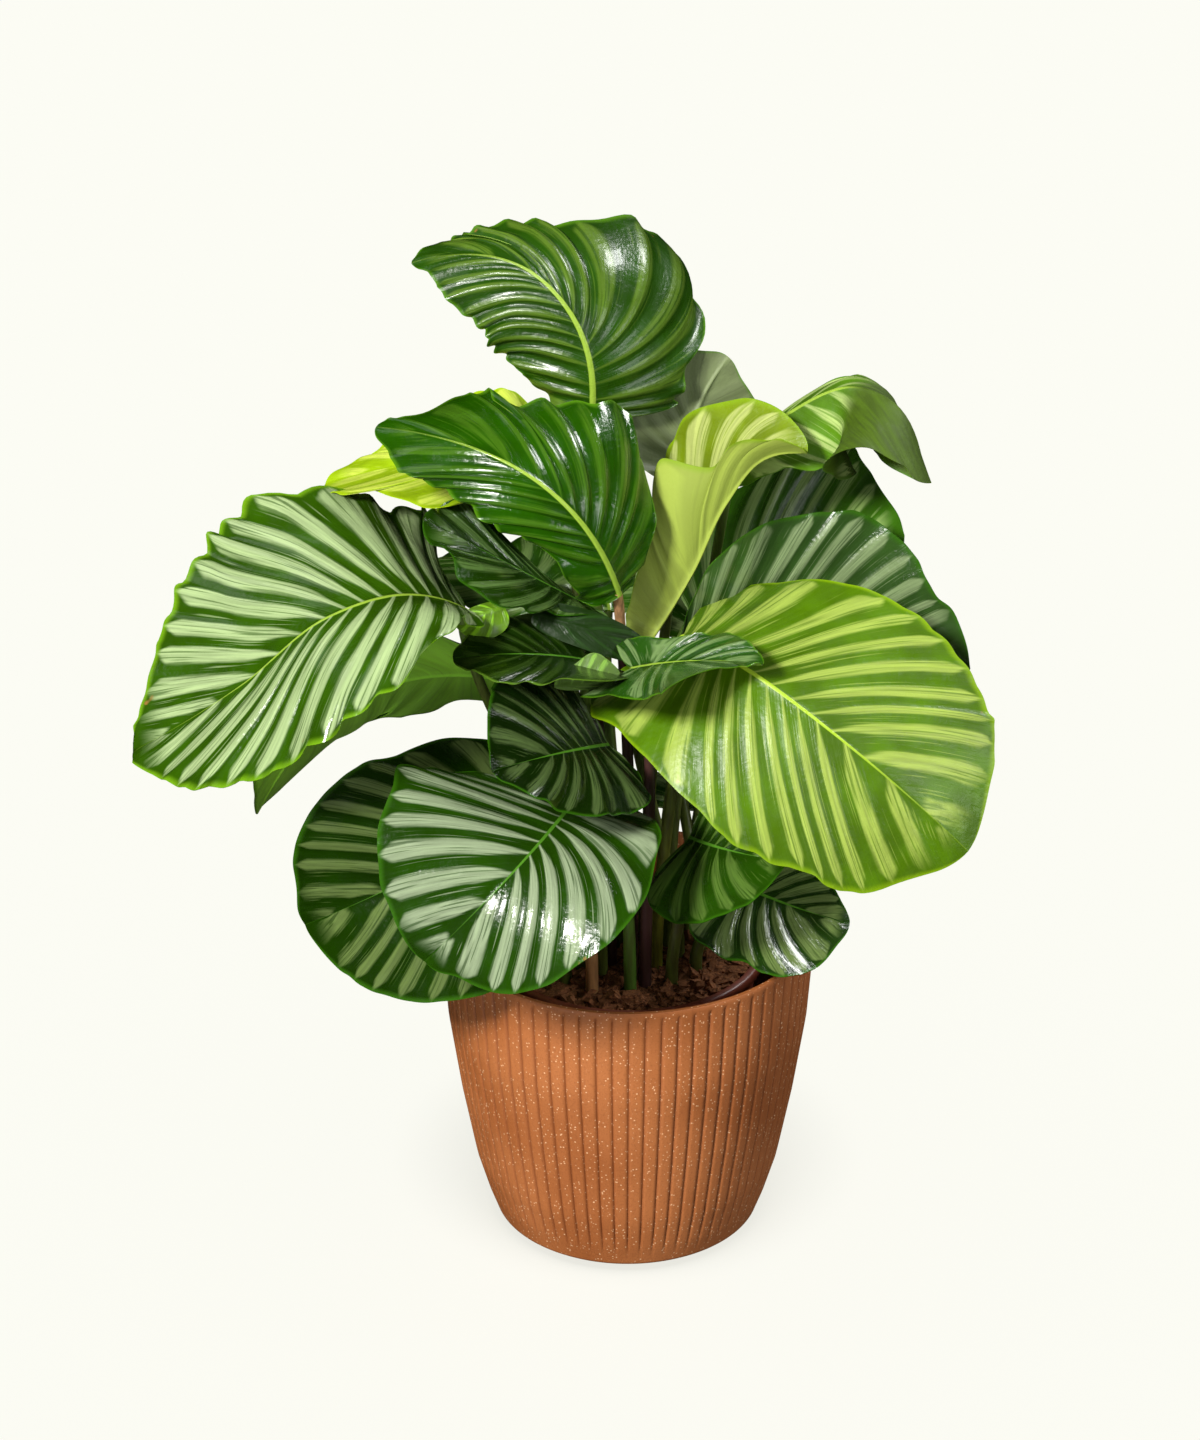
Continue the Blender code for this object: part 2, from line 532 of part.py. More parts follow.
def main():
    for thing in list(bpy.data.objects):
        bpy.data.objects.remove(thing, do_unlink=True)
    build_outer_pot()
    build_liner()
    build_soil()
    for name, leaf in LEAVES.items():
        build_blade(name, leaf)
        build_stalk(name, leaf)


main()
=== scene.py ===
"""Looks of the potted prayer plant: banded leaves, their stalks, the soil and the ribbed pot.

Every piece repeats the course of a solid of the part, with finer shape and its own material. Metres, +Z up,
the plant's front at -Y.
"""
import json
from math import cos, pi, radians, sin

import bpy
import numpy as np
from mathutils import Euler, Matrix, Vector, noise

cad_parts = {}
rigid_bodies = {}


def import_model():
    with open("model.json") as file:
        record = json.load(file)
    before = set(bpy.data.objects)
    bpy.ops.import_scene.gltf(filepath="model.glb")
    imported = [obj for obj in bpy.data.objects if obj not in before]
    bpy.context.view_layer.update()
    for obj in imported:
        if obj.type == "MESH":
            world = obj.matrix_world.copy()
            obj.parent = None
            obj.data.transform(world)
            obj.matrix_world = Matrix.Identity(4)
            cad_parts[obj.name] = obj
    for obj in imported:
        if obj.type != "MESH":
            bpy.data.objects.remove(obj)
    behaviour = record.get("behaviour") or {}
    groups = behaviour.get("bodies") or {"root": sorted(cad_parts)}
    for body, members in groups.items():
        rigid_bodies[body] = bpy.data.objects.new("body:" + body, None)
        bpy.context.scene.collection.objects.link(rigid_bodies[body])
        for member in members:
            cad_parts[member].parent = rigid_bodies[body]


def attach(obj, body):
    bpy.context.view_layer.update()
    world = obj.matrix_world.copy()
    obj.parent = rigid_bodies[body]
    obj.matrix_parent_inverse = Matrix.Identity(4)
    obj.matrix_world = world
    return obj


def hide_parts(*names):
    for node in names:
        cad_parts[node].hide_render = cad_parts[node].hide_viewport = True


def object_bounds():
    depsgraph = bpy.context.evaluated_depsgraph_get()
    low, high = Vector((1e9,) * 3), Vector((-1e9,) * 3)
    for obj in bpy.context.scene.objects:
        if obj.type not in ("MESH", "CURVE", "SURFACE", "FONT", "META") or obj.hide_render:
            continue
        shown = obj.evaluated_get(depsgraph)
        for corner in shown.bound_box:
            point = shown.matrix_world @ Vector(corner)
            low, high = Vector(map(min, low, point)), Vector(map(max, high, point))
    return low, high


CM = 0.01
MM = 0.001

# Outer pot; its shape gives shares of the radius at shares of the height
POT_HEIGHT = 0.178
POT_RADIUS = 0.100
POT_WALL = 0.003
POT_FLOOR = 0.004
POT_SHAPE = ((0.0, 0.642), (0.03, 0.720), (0.10, 0.764), (0.22, 0.825), (0.45, 0.900),
             (0.70, 0.964), (0.975, 0.998), (1.0, 1.0))
POT_RIBS = 72
RIB_DEPTH = 0.0012
RIB_STEPS = 8
RIB_SHOULDER = 0.12
GROOVE_FOOT = 0.05
GROOVE_RUN_IN = 0.10
GROOVE_HEAD = 0.985
GROOVE_RUN_OUT = 0.012

# Nursery pot
LINER_RADIUS = 0.070
LINER_FOOT = 0.052
LINER_TOP = 0.162
LINER_BASE = 0.0043
LINER_WALL = 0.0012
LINER_LIP = 0.0035
LINER_LIP_HEIGHT = 0.006
LINER_SIDES = 128

# Soil
SOIL_TOP = 0.155
SOIL_HUMP = 0.004
SOIL_RADIUS = 0.0672
SOIL_RINGS = 34
SOIL_SIDES = 120
SOIL_CLEAR = 0.0005
SOIL_SINK = 0.001
LUMP_HEIGHT = 0.0016
LUMP_SCALE = 90
CRUMB_SCALE = 240
HOLE_DEPTH = 0.025

# Bark chips
CHIP_TRIES = 1500
CHIP_SEED = 7
CHIP_LEAST = 0.0006
CHIP_SPREAD = 0.0022
CHIP_FLATNESS = 0.55
CHIP_INSET = 0.004
CHIP_STALK_GAP = 0.0044

# Outline of a blade
TIP_SHARE = 0.05
TIP_REACH = 0.25
LOBE_TURN = 2.2
MARGIN_POWER = 0.9
SCALLOP_MEAN = 0.6

# Side veins and the bands along them
VEIN_FOOT_POWER = 1.7
TIP_VEIN_POWER = 14
TIP_VEIN_SHARE = 0.3
VEIN_SWEEP = 0.42
VEIN_SPREAD = 0.62
CROWDING = 0.4
BAND_SWING = 0.18
BAND_SWING_TURNS = 9
BAND_SHAKE = 0.10
BAND_SHAKE_TURNS = 23

# Waves and relief of a blade
QUICK_WAVES = 2.3
QUICK_SHARE = 0.4
QUICK_PHASE = 2.1
WAVE_POWER = 0.4
RIGHT_HALF_PHASE = 1.7
LEAST_BEND = 0.001
FOLD_RUN = 0.25
FOLD_MARGIN_POWER = 0.6
FOLD_END_POWER = 0.3
CRINKLE_POWER = 5
CRINKLE_END_POWER = 0.5
CRINKLES_PER_BAND = 1.1
BLADE_THICKNESS = 0.0008
RIM_THICKNESS = 0.0004
MIDRIB_ABOVE = dict(height=0.0009, tip_breadth=0.0006, more_breadth=0.0010, power=0.8)
MIDRIB_BELOW = dict(height=0.0020, tip_breadth=0.0007, more_breadth=0.0014, power=0.7)
BLADE_ROWS = 132
LOBE_ROWS = 40
BLADE_COLUMNS = 24
COLUMN_POWER = 1.6
BOX_INSET = 0.0016
SHARP_ANGLE = 50

# Leaf stalks
STALK_FOOT_RADIUS = 0.0034
STALK_TOP_RADIUS = 0.0024
STALK_CLEAR = 0.002
STALK_RISE = 0.4
STALK_STEPS = 44
STALK_SIDES = 14
STALK_SWELLING = 0.12
STALK_END_IN = 0.002
STALK_END_DOWN = 0.0012

# Course and bend that a leaf has unless its own entry says otherwise, in centimetres and degrees
PLAIN_LEAF = dict(
    lift=(10, 10),  # how far the left and the right half stand up at the midrib
    curl=(-25, -25),  # how far each half bends up or down from there to its margin
    roll=(0, 0, 0),  # turn about the midrib, from the stalk to the tip
    wave=0.2,  # height of the margin's waves
    waves=4,  # how many there are
    phase=0,  # where they start
    arrive=45,  # slant of the stalk's end to the midrib
    full=0.1,  # how much broader the blade is towards the stalk
    slot="leaf_dark",
)

# Each leaf, as in the part's solids: its midrib, the way its upper side looks, the widths of its halves, its
# stalk's place in the soil, and how far that stalk keeps the slant of its end
LEAVES = {
    "top": dict(
        rib=[(-1.9, 3.5, 45.2), (-2.7, 3.8, 50.2), (-5.2, 5, 52.6), (-11.1, 7.5, 52)],
        face=(-0.2, -0.65, 0.75), half=(4, 6.7), lift=(-15, -10), curl=(-25, -45), roll=(-20, 0, 20),
        wave=0.35, root=(-0.6, 0.6), arrive=20, full=0.55, reach=8, slot="leaf_mid"),
    "second": dict(
        rib=[(-0.5, -3, 38.2), (-4.2, -4.5, 44.8), (-12.7, 0, 46.1)], face=(-0.2, -0.6, 0.75),
        half=(4.5, 6.4), lift=(-15, -15), curl=(-35, -25), roll=(-12, 0, 12), wave=0.3, phase=40,
        root=(0.2, -2.8), arrive=15, reach=6, slot="leaf_mid"),
    "left_big": dict(
        rib=[(-8.2, -5, 38.3), (-11.3, -6.5, 39.8), (-15, -7.5, 39), (-19.2, -7.5, 35.4), (-25.2, -6, 30.8)],
        face=(-0.4, -0.45, 0.8), half=(7.2, 10), lift=(20, -5), curl=(-35, 12), roll=(12, 0, -12), wave=0.35,
        phase=80, root=(-2.6, -1.6), full=0.22, reach=7, slot="leaf_mid"),
    "left_mid": dict(
        rib=[(-1.9, 0, 36), (-5.5, -1.9, 39), (-10.3, -3.1, 42.5)], face=(-0.15, -0.3, 0.95), half=(5, 4.5),
        lift=(10, -5), curl=(-12, -19), roll=(20, 0, -20), wave=0.3, phase=10, root=(-0.9, -1.4), reach=6),
    "left_light": dict(
        rib=[(-4, 5.7, 41.8), (-9.5, 4.2, 42.4), (-15.7, 5.2, 40.7)], face=(-0.1, -0.35, 0.95), half=(3.2, 5),
        lift=(20, 2), curl=(0, -25), roll=(-15, 0, 15), waves=3, root=(-1.9, 0.9), reach=6,
        slot="leaf_young"),
    "low_left_back": dict(
        rib=[(-4.5, -5, 27.5), (-10.2, -7, 24.7), (-16.7, -6, 20.8)], face=(-0.15, -0.9, 0.4),
        half=(7.1, 6.5), lift=(10, 25), curl=(-20, 0), wave=0.12, root=(-3.3, -2.9), reach=4),
    "low_left_front": dict(
        rib=[(-2.8, -7, 28.5), (-6, -13, 27.5), (-10.2, -13.5, 23)], face=(-0.05, -0.8, 0.6), half=(6.5, 7.3),
        lift=(15, 10), curl=(-18, -18), roll=(20, 0, -20), wave=0.15, phase=50, root=(-1.9, -3.9), reach=4),
    "centre_low": dict(
        rib=[(-1.1, -5.6, 31), (-3.7, -8.9, 32.2), (-6.8, -11.6, 32.7)], face=(-0.13, -0.72, 0.68),
        half=(4.8, 5.2), lift=(16, 12), curl=(-6, -16), root=(0.1, -4.1), arrive=20, reach=2.5),
    "centre_left": dict(
        rib=[(-1.9, -4.6, 35.2), (-5, -6.2, 36.4), (-8.8, -7, 36.6)], face=(0, -0.35, 0.95), half=(3.6, 3),
        lift=(20, 5), curl=(7, -22), roll=(8, 0, -8), waves=3, root=(-1.4, -2.2), arrive=60, reach=5),
    "centre_right": dict(
        rib=[(0.2, -5.8, 35.4), (3, -7.2, 36.5), (6.5, -9.3, 37.4)], face=(0.1, -0.25, 0.95), half=(2.4, 3.8),
        lift=(20, 25), curl=(-10, -15), roll=(8, 0, -8), waves=3, root=(0.9, -3.4), arrive=80, reach=3.5,
        slot="leaf_mid"),
    "left_under": dict(
        rib=[(-6, -1, 32.5), (-13.5, 0, 31.2), (-19.4, -1, 24.6)], face=(-0.2, 0.8, 0.55), half=(5.2, 6.3),
        lift=(3, 5), curl=(-18, 20), roll=(5, 0, -25), wave=0.3, waves=3, root=(-3.8, -0.9), arrive=-20,
        reach=3, slot="leaf_mid"),
    "right_big": dict(
        rib=[(2.7, -3.1, 35.9), (6, -7.3, 36), (11.9, -10, 32.3), (16.9, -10.5, 27.6)],
        face=(0.25, -0.7, 0.68), half=(8.4, 7.4), lift=(-3, -12), curl=(4, -15), roll=(-10, 0, 10), wave=0.12,
        root=(1.5, -1.7), arrive=75, full=-0.2, reach=3, slot="leaf_young"),
    "right_dark": dict(
        rib=[(2.5, 0, 33.7), (10.2, 1.3, 32.7), (17.4, -2.3, 33.7)], face=(0.1, -0.88, 0.47), half=(7.8, 7),
        lift=(28, 10), curl=(-12, -15), roll=(10, 0, -10), root=(2.7, -0.5), reach=6),
    "right_upper": dict(
        rib=[(3.3, 6, 32.7), (8.8, 6, 35), (14.3, 4, 38.3)], face=(0.08, -0.62, 0.78), half=(8, 5.5),
        lift=(-2, 10), curl=(-23, -15), roll=(-15, 0, 15), wave=0.3, root=(3.9, 0.4), reach=6),
    "low_right_front": dict(
        rib=[(3.2, -4.2, 24.9), (5.4, -6.8, 25.5), (8, -8.2, 25.7)], face=(0.17, -0.82, 0.55),
        half=(3.5, 4.8), lift=(10, 24), curl=(-15, -9), wave=0.15, waves=3, root=(2.3, -3.2), reach=3),
    "low_right_back": dict(
        rib=[(5.6, -1.5, 20.7), (8.3, -3.8, 20.7), (11.5, -4.6, 20)], face=(0.14, -0.74, 0.66), half=(2.5, 5),
        lift=(7, 18), curl=(-18, 6), roll=(-8, 0, 8), wave=0.15, waves=3, root=(3.6, -1.7), reach=2),
    "rolled": dict(
        rib=[(1.0, -0.3, 34.3), (3.1, 0.7, 37.5), (4.9, 0.7, 41.6), (6.8, 0.2, 44.3), (8.9, -0.8, 45)],
        face=(-0.85, -0.1, 0.5), half=(5, 4.6), lift=(25, 70), curl=(30, 80), wave=0.1, waves=2,
        root=(1.0, -1.0), arrive=35, reach=6, slot="leaf_young"),
    "behind_top": dict(
        rib=[(2.8, 5, 41), (3.6, 7, 44.2), (5.2, 8, 46.6)], face=(0.1, 0.8, 0.5), half=(3.4, 3.8),
        lift=(5, 5), curl=(-20, -20), waves=3, root=(0.9, 1.3), arrive=-10, reach=6, slot="leaf_mid"),
    "folding": dict(
        rib=[(5, 4, 42), (8.2, 3, 45.6), (11.3, 1.5, 47.6), (13.4, 0, 47.2), (14.8, -1, 43.5)],
        face=(0, -0.5, 0.85), half=(2.6, 3.4), lift=(-20, -20), curl=(-30, -30), roll=(0, 0, 0, -60, -110),
        wave=0.3, waves=3, root=(2.1, 0.7), arrive=30, reach=8, slot="leaf_mid"),
    "back_left_high": dict(
        rib=[(-4.5, 3.5, 34), (-8.5, 7, 35.5), (-13, 10, 32)], face=(-0.3, 0.35, 0.9), half=(4.8, 4.8),
        wave=0.25, phase=30, root=(-3.2, 1.3), reach=5, slot="leaf_mid"),
    "back_centre": dict(
        rib=[(-1, 7, 32.5), (-1.5, 11.5, 33.5), (-2.5, 16, 28.5)], face=(0.05, 0.5, 0.85), half=(4, 4),
        lift=(12, 12), curl=(-30, -30), wave=0.25, phase=60, root=(-0.3, 2.6), reach=5, slot="leaf_mid"),
    "back_right_high": dict(
        rib=[(3.5, 8, 30), (8.5, 12, 31), (13, 15, 27)], face=(0.3, 0.4, 0.85), half=(5, 5), wave=0.25,
        root=(1.8, 3.4), reach=5),
    "back_right_low": dict(
        rib=[(4.2, 3.8, 25.5), (9, 7, 26), (13.5, 10, 21.5)], face=(0.3, 0.5, 0.8), half=(4.5, 4.5), waves=3,
        phase=90, root=(3.3, 2.2), reach=4),
    "back_left_low": dict(
        rib=[(-3, 4.5, 22.5), (-7.5, 8, 23), (-12, 10.5, 18.5)], face=(-0.3, 0.5, 0.8), half=(4.5, 4.5),
        waves=3, phase=45, root=(-2.4, 3.4), reach=3),
    "back_low": dict(
        rib=[(2.5, 7, 20.5), (5, 11, 20.5), (8, 14, 16.5)], face=(0.1, 0.5, 0.85), half=(4.2, 4.2), waves=3,
        phase=10, root=(1.4, 4.3), reach=3),
}
LEAVES = {name: dict(PLAIN_LEAF, **leaf) for name, leaf in LEAVES.items()}

# Looks that a leaf has unless its own entry says otherwise
PLAIN_LOOK = dict(
    bands=(8, 8),  # pale bands in the left and the right half
    width=0.5,  # how broad they are
    pleat=0.4,  # height of the folds between them, in millimetres
    ripple=0.4,  # height of the crinkles at the rim, in millimetres
    scallop=0,  # depth of the outline's scallops, as a share of the width
    edge_left=(0, 0),  # how far the outline stands out or in, at even steps from stalk to tip
    edge_right=(0, 0),
    lobes=(0.05, 0.05),  # how far each half reaches back past the stalk
    rib_width=1,  # breadth of the pale midrib
    satin=0,  # 0 for a glossy blade, 1 for a satin one
    bare_from=None,  # share of the length past which the underside's paint shows
)

# Paints of a leaf, as screen values from 0 to 255: ground, bands, margin, midrib, underside
DARK = dict(PLAIN_LOOK, green=(28, 62, 2), silver=(116, 136, 82), edge=(46, 92, 10), rib=(70, 120, 30),
            under=(84, 108, 50))
MID = dict(PLAIN_LOOK, green=(46, 92, 6), silver=(122, 152, 82), edge=(76, 122, 16), rib=(138, 168, 56),
           under=(104, 136, 40))
YOUNG = dict(PLAIN_LOOK, green=(92, 128, 0), silver=(152, 174, 74), edge=(118, 152, 4), rib=(158, 190, 44),
             under=(164, 178, 76), satin=1)

# Looks of each leaf
LOOKS = {
    "top": dict(
        MID, bands=(13, 14), width=0.42, pleat=0.9, ripple=1.3, scallop=0.07, rib_width=1.2, satin=0.6,
        green=(32, 70, 2), silver=(82, 112, 30),
        edge_left=(0, -.2, -.2, -.18, -.12, .05, .12, .18, .4, .6, .5, 0, 0),
        edge_right=(0, .5, -.05, -.2, .25, .66, .16, -.26, -.17, -.45, 0, .9, 0)),
    "second": dict(
        MID, bands=(12, 13), width=0.42, pleat=0.8, ripple=1.0, scallop=0.06, rib_width=1.1,
        green=(28, 72, 0), silver=(60, 100, 16),
        edge_left=(0, -.25, -.2, -.45, -.48, -.42, -.32, -.33, -.33, -.28, -.1, -.15, 0),
        edge_right=(0, -.2, -.38, -.19, .06, .25, -.03, -.08, -.28, 0, .32, -.5, 0)),
    "left_big": dict(
        MID, bands=(14, 15), width=0.58, pleat=0.5, ripple=1.1, scallop=0.06, lobes=(0, 0.2), rib_width=1.2,
        green=(42, 78, 2), silver=(158, 180, 126), edge=(104, 150, 20),
        edge_left=(0, -.1, -.5, -.3, -.12, -.05, 0, -.05, -.08, -.03, -.08, -.05, 0),
        edge_right=(0, .9, .7, .2, -.08, -.1, -.02, .05, -.02, 0, .1, -.25, 0)),
    "left_mid": dict(
        DARK, bands=(9, 9), width=0.45, pleat=0.5, ripple=0.6, silver=(92, 124, 62),
        edge_left=(0, 0, -.1, -.2, -.4, -.5, -.28, -.12, -.25, -.2, -.45, -.1, 0),
        edge_right=(0, 0, .2, .4, .5, .45, .35, .2, .15, 0, 0, -.1, 0)),
    "left_light": dict(
        YOUNG, ripple=0.6, green=(150, 184, 6), silver=(196, 214, 80), edge=(160, 192, 10),
        edge_left=(0, 0, 0, 0, 0, .3, .8, .5, .2, .9, 1, .8, 0),
        edge_right=(0, .3, .6, .35, .15, 0, 0, -.1, -.3, -.4, -.15, .05, 0)),
    "low_left_back": dict(
        DARK, bands=(12, 12), width=0.48, ripple=0.3, green=(20, 48, 0), silver=(92, 112, 58),
        edge_left=(0, 0, 0, 0, 0, 0, 0, -.02, 0, 0, .02, .15, 0),
        edge_right=(0, 0, -.05, -.06, -.03, -.03, .06, .05, .05, .05, .06, 0, 0)),
    "low_left_front": dict(
        DARK, bands=(11, 11), width=0.56, pleat=0.5, ripple=0.3, silver=(142, 158, 124),
        edge_left=(0, .05, .03, -.03, -.09, -.05, -.06, -.1, -.07, -.06, -.03, -.1, 0),
        edge_right=(0, -.2, -.15, -.13, -.07, -.03, .09, .05, .07, .05, .1, .07, 0)),
    "centre_low": dict(
        DARK, bands=(9, 9), width=0.46, pleat=0.5, ripple=0.5, green=(12, 32, 2), silver=(74, 94, 50),
        edge_left=(0, 0, 0, 0, 0, -.05, -.06, 0, -.05, 0, 0, -.2, 0),
        edge_right=(0, 0, 0, 0, 0, 0, 0, 0, 0, 0, -.04, -.1, 0)),
    "centre_left": dict(
        DARK, width=0.42, lobes=(0.35, 0.35), green=(14, 36, 0), silver=(42, 64, 18), edge=(84, 118, 30),
        edge_left=(0, 0, 0, 0, 0, .2, 0, -.12, .08, .25, -.3, -.1, 0),
        edge_right=(0, 1, 1.1, 1, .8, .5, .2, .1, 0, 0, 0, 0, 0)),
    "centre_right": dict(
        MID, width=0.42, lobes=(0.35, 0.35), green=(34, 76, 10), silver=(112, 140, 84),
        edge_left=(0, 1.2, 1, .4, -.15, -.35, -.25, -.07, -.1, -.2, -.15, 0, 0),
        edge_right=(0, 0, 0, 0, 0, .2, .3, .45, .8, -.4, -.8, -.5, 0)),
    # Underside paint: the leaf's pale underside, brightened with painted light that stands in for light
    # shining through the thin leaf
    "left_under": dict(
        MID, pleat=0.5, ripple=0.5, under=(150, 214, 60),
        edge_right=(0, 0, .5, 1, .7, .3, -.1, -.05, .3, .9, 1.6, 1.8, 0)),
    "right_big": dict(
        YOUNG, bands=(13, 15), width=0.46, pleat=0.45, ripple=0.3, scallop=0.012, lobes=(0.22, 0.22),
        green=(74, 112, 0), edge_left=(0, .1, .14, .02, -.03, -.01, -.05, -.09, -.1, -.1, .03, .02, 0),
        edge_right=(0, .5, .45, .25, .03, .02, 0, -.07, -.14, -.07, 0, -.02, 0)),
    "right_dark": dict(
        DARK, bands=(13, 12), green=(46, 76, 28), silver=(124, 144, 100),
        edge_left=(0, 0, -.03, 0, 0, -.03, 0, .07, .05, .03, -.05, .25, 0)),
    "right_upper": dict(
        DARK, bands=(10, 10), width=0.45, ripple=0.5, green=(52, 98, 12), silver=(140, 170, 96),
        edge_left=(0, 0, 0, 0, 0, .05, .02, 0, .04, .1, .04, 0, 0)),
    "low_right_front": dict(
        DARK, bands=(8, 7), ripple=0.3, silver=(80, 110, 42),
        edge_right=(0, .3, .1, 0, 0, 0, 0, 0, 0, -.05, -.03, -.05, 0)),
    "low_right_back": dict(
        DARK, bands=(7, 8), width=0.66, ripple=0.3, green=(22, 48, 6), silver=(96, 116, 62),
        edge_left=(0, 0, 0, 0, 0, 0, 0, 0, -.02, -.08, -.08, 0, 0),
        edge_right=(0, 0, 0, 0, 0, -.05, -.14, -.03, .04, 0, 0, -.08, 0)),
    "rolled": dict(
        YOUNG, bands=(9, 9), width=0.55, pleat=0.3, ripple=0.2, green=(112, 136, 4), silver=(176, 188, 106),
        under=(138, 154, 62), edge_left=(0, -.3, -.45, -.45, -.42, -.38, -.22, 0, .15, .05, 0, 0, 0),
        edge_right=(0, -.2, -.35, -.42, -.4, -.38, -.23, 0, -.55, -.42, -.45, -.15, 0)),
    "behind_top": dict(
        MID, bands=(7, 7), under=(104, 116, 78), edge_left=(0, 0, 0, 0, 0, 0, .2, .3, .3, .35, .25, .1, 0)),
    "folding": dict(
        MID, bands=(7, 7), width=0.45, pleat=0.3, satin=1, bare_from=0.56, green=(80, 124, 16),
        silver=(168, 192, 112), under=(66, 92, 0),
        edge_left=(0, .3, .4, .3, .1, .1, .3, .6, .7, .9, 1.2, 1.6, 0),
        edge_right=(0, -.2, -.3, -.3, -.25, 0, .3, .5, .8, .5, .7, 1.6, 0)),
    "back_left_high": dict(MID, bands=(9, 9)),
    "back_centre": MID,
    "back_right_high": dict(DARK, bands=(9, 9)),
    "back_right_low": DARK,
    "back_left_low": DARK,
    "back_low": DARK,
}

# Small folded lobes of blades, each in one paint
LOBES = {
    "centre": dict(rib=[(-3.7, -6.9, 35.0), (-2.1, -7.0, 35.2), (-0.5, -6.5, 35.6)], face=(0, -0.9, 0.4),
                   half=(1.3, 0.3), curl=(-30, 0), full=-0.5, paint=(92, 124, 50)),
    "left": dict(rib=[(-6.3, -4.4, 38.2), (-7.5, -4.9, 38.0), (-8.8, -5.0, 37.6)], face=(-0.1, -0.8, 0.6),
                 half=(1.3, 0.5), curl=(-30, 0), paint=(92, 132, 20)),
    "inner": dict(rib=[(-4.8, -3.4, 37.3), (-2.4, -3.7, 36.7), (0, -3.8, 35.7), (1.6, -3.8, 34.8)],
                  face=(0, -0.8, 0.6), half=(1.0, 1.0), curl=(-20, -20), paint=(20, 44, 4)),
}

# Ramps of the leaf paints: where each starts and ends, and its value there
BAND_OPENS = (0.0, 0.28)
BAND_ENDS = (0.88, 1.03)
DARK_LINES = (0.53, 0.66, 1.0, 0.35)
THIN_LINES = (0.40, 0.30, 0.0, 0.5)
CLEAR_OF_RIB = (0.08, 0.25, 0.0, 1.0)
CLEAR_OF_RIM = (0.75, 0.95, 1.0, 0.0)
CLEAR_OF_TIP = (0.86, 0.97, 1.0, 0.0)
RIM_PAINT = (0.95, 1.0, 0.0, 0.8)
RIM_PAINT_BELOW = (0.93, 1.0, 0.0, 0.7)
RIB_PAINT_ENDS = (0.45, 0.95, 1.0, 0.15)
RIB_PAINT_BELOW = (0.9, 1.9, 0.8, 0.0)
BLEMISH_SPOTS = (0.77, 0.80)
BLEMISH_RIM = (0.88, 0.96)

# Strengths of the leaf paints
BAND_START = 0.25
BAND_SOFTNESS = 0.15
BAND_STRENGTH = 0.92
BAND_STRENGTH_BELOW = 0.35
PATCHINESS = 0.35
RAGGEDNESS = 0.22
FINE_VEINS = 0.10
BLEMISH = (128, 96, 44)
GLOSS_ROUGHNESS = (0.17, 0.27)
SATIN_ROUGHNESS = 0.16
BARE_ROUGHNESS = 0.3
BARE_BLUR = 0.05

# Stalks: paint at the soil, halfway and under the blade
TAN = (196, 148, 104)
OLIVE = (96, 112, 40)
PURPLE = (66, 40, 38)
GREEN = (84, 112, 40)
STALK_PAINTS = {
    "top": (GREEN, GREEN, (150, 160, 80)),
    "second": (PURPLE, PURPLE, TAN),
    "rolled": (OLIVE, OLIVE, TAN),
    "right_big": ((142, 146, 44), OLIVE, OLIVE),
    "centre_low": ((76, 112, 34), GREEN, OLIVE),
    "centre_right": (PURPLE, PURPLE, OLIVE),
    "left_mid": (PURPLE, PURPLE, OLIVE),
    "low_left_front": ((172, 124, 78), OLIVE, GREEN),
    "low_right_front": (OLIVE, PURPLE, (170, 92, 48)),
}
PLAIN_STALK = (OLIVE, OLIVE, GREEN)
STALK_STREAKS = (58, 46, 26)

# Paints of the pots and the soil
POT_DARK = (148, 84, 40)
POT_LIGHT = (168, 101, 53)
POT_GRAIN = (118, 60, 26)
# Painted shade that darkens the outer pot's grooves
POT_FLECK = (232, 190, 148)
POT_GROOVE_SHADE = (118, 64, 32)
LINER_DARK = (96, 44, 30)
LINER_LIGHT = (134, 66, 46)
SOIL_DARK = (78, 49, 30)
SOIL_LIGHT = (148, 98, 64)
CHIP_DARK = (84, 50, 30)
CHIP_LIGHT = (158, 104, 66)
CHIP_PALE = (132, 86, 54)

# Studio: each lamp's place, target, breadth, watts and, for the key, colour
LAMPS = {
    "key": ((-1.3, -1.9, 2.05), (0, 0, 0.32), 0.5, 135, (1, 0.98, 0.94)),
    "fill": ((2.0, -1.4, 1.3), (0, 0, 0.3), 1.0, 22),
    "rim": ((1.3, 0.9, 1.9), (0, 0, 0.35), 0.5, 32),
    "window": ((-1.8, 0.6, 2.2), (-0.1, 0, 0.35), 1.0, 4),
    "bounce": ((-0.5, -1.0, 0.03), (-0.12, 0, 0.3), 0.8, 5),
}
OVERHEAD_SOURCE = (0, -0.27, 1)
OVERHEAD_SPREAD = 22
OVERHEAD_STRENGTH = 2.5
WORLD_COLOUR = (1, 0.99, 0.96, 1)
WORLD_STRENGTH = 0.27
FLOOR_REACH = 12
FLOOR_GLOW = (0.788, 0.788, 0.728, 1)
FLOOR_COLOUR = (0.18, 0.18, 0.172, 1)

# Camera
CAMERA_DISTANCE = 2.2
CAMERA_ELEVATION = 27.13
CAMERA_AIM = (-0.0148, 0, 0.2959)
CAMERA_LENS = 105.85


def linear(paint):
    """A colour in light values, from screen values between 0 and 255."""
    share = np.array(paint, float) / 255
    light = np.where(share <= 0.04045, share / 12.92, ((share + 0.055) / 1.055) ** 2.4)
    return (*map(float, light), 1.0)


def shaded(paint, strength):
    """A paint made darker or lighter, in light values."""
    return linear([min(value * strength, 255) for value in paint])


def unit(vectors):
    """The vectors at length 1, along the last axis."""
    return vectors / np.linalg.norm(vectors, axis=-1, keepdims=True)


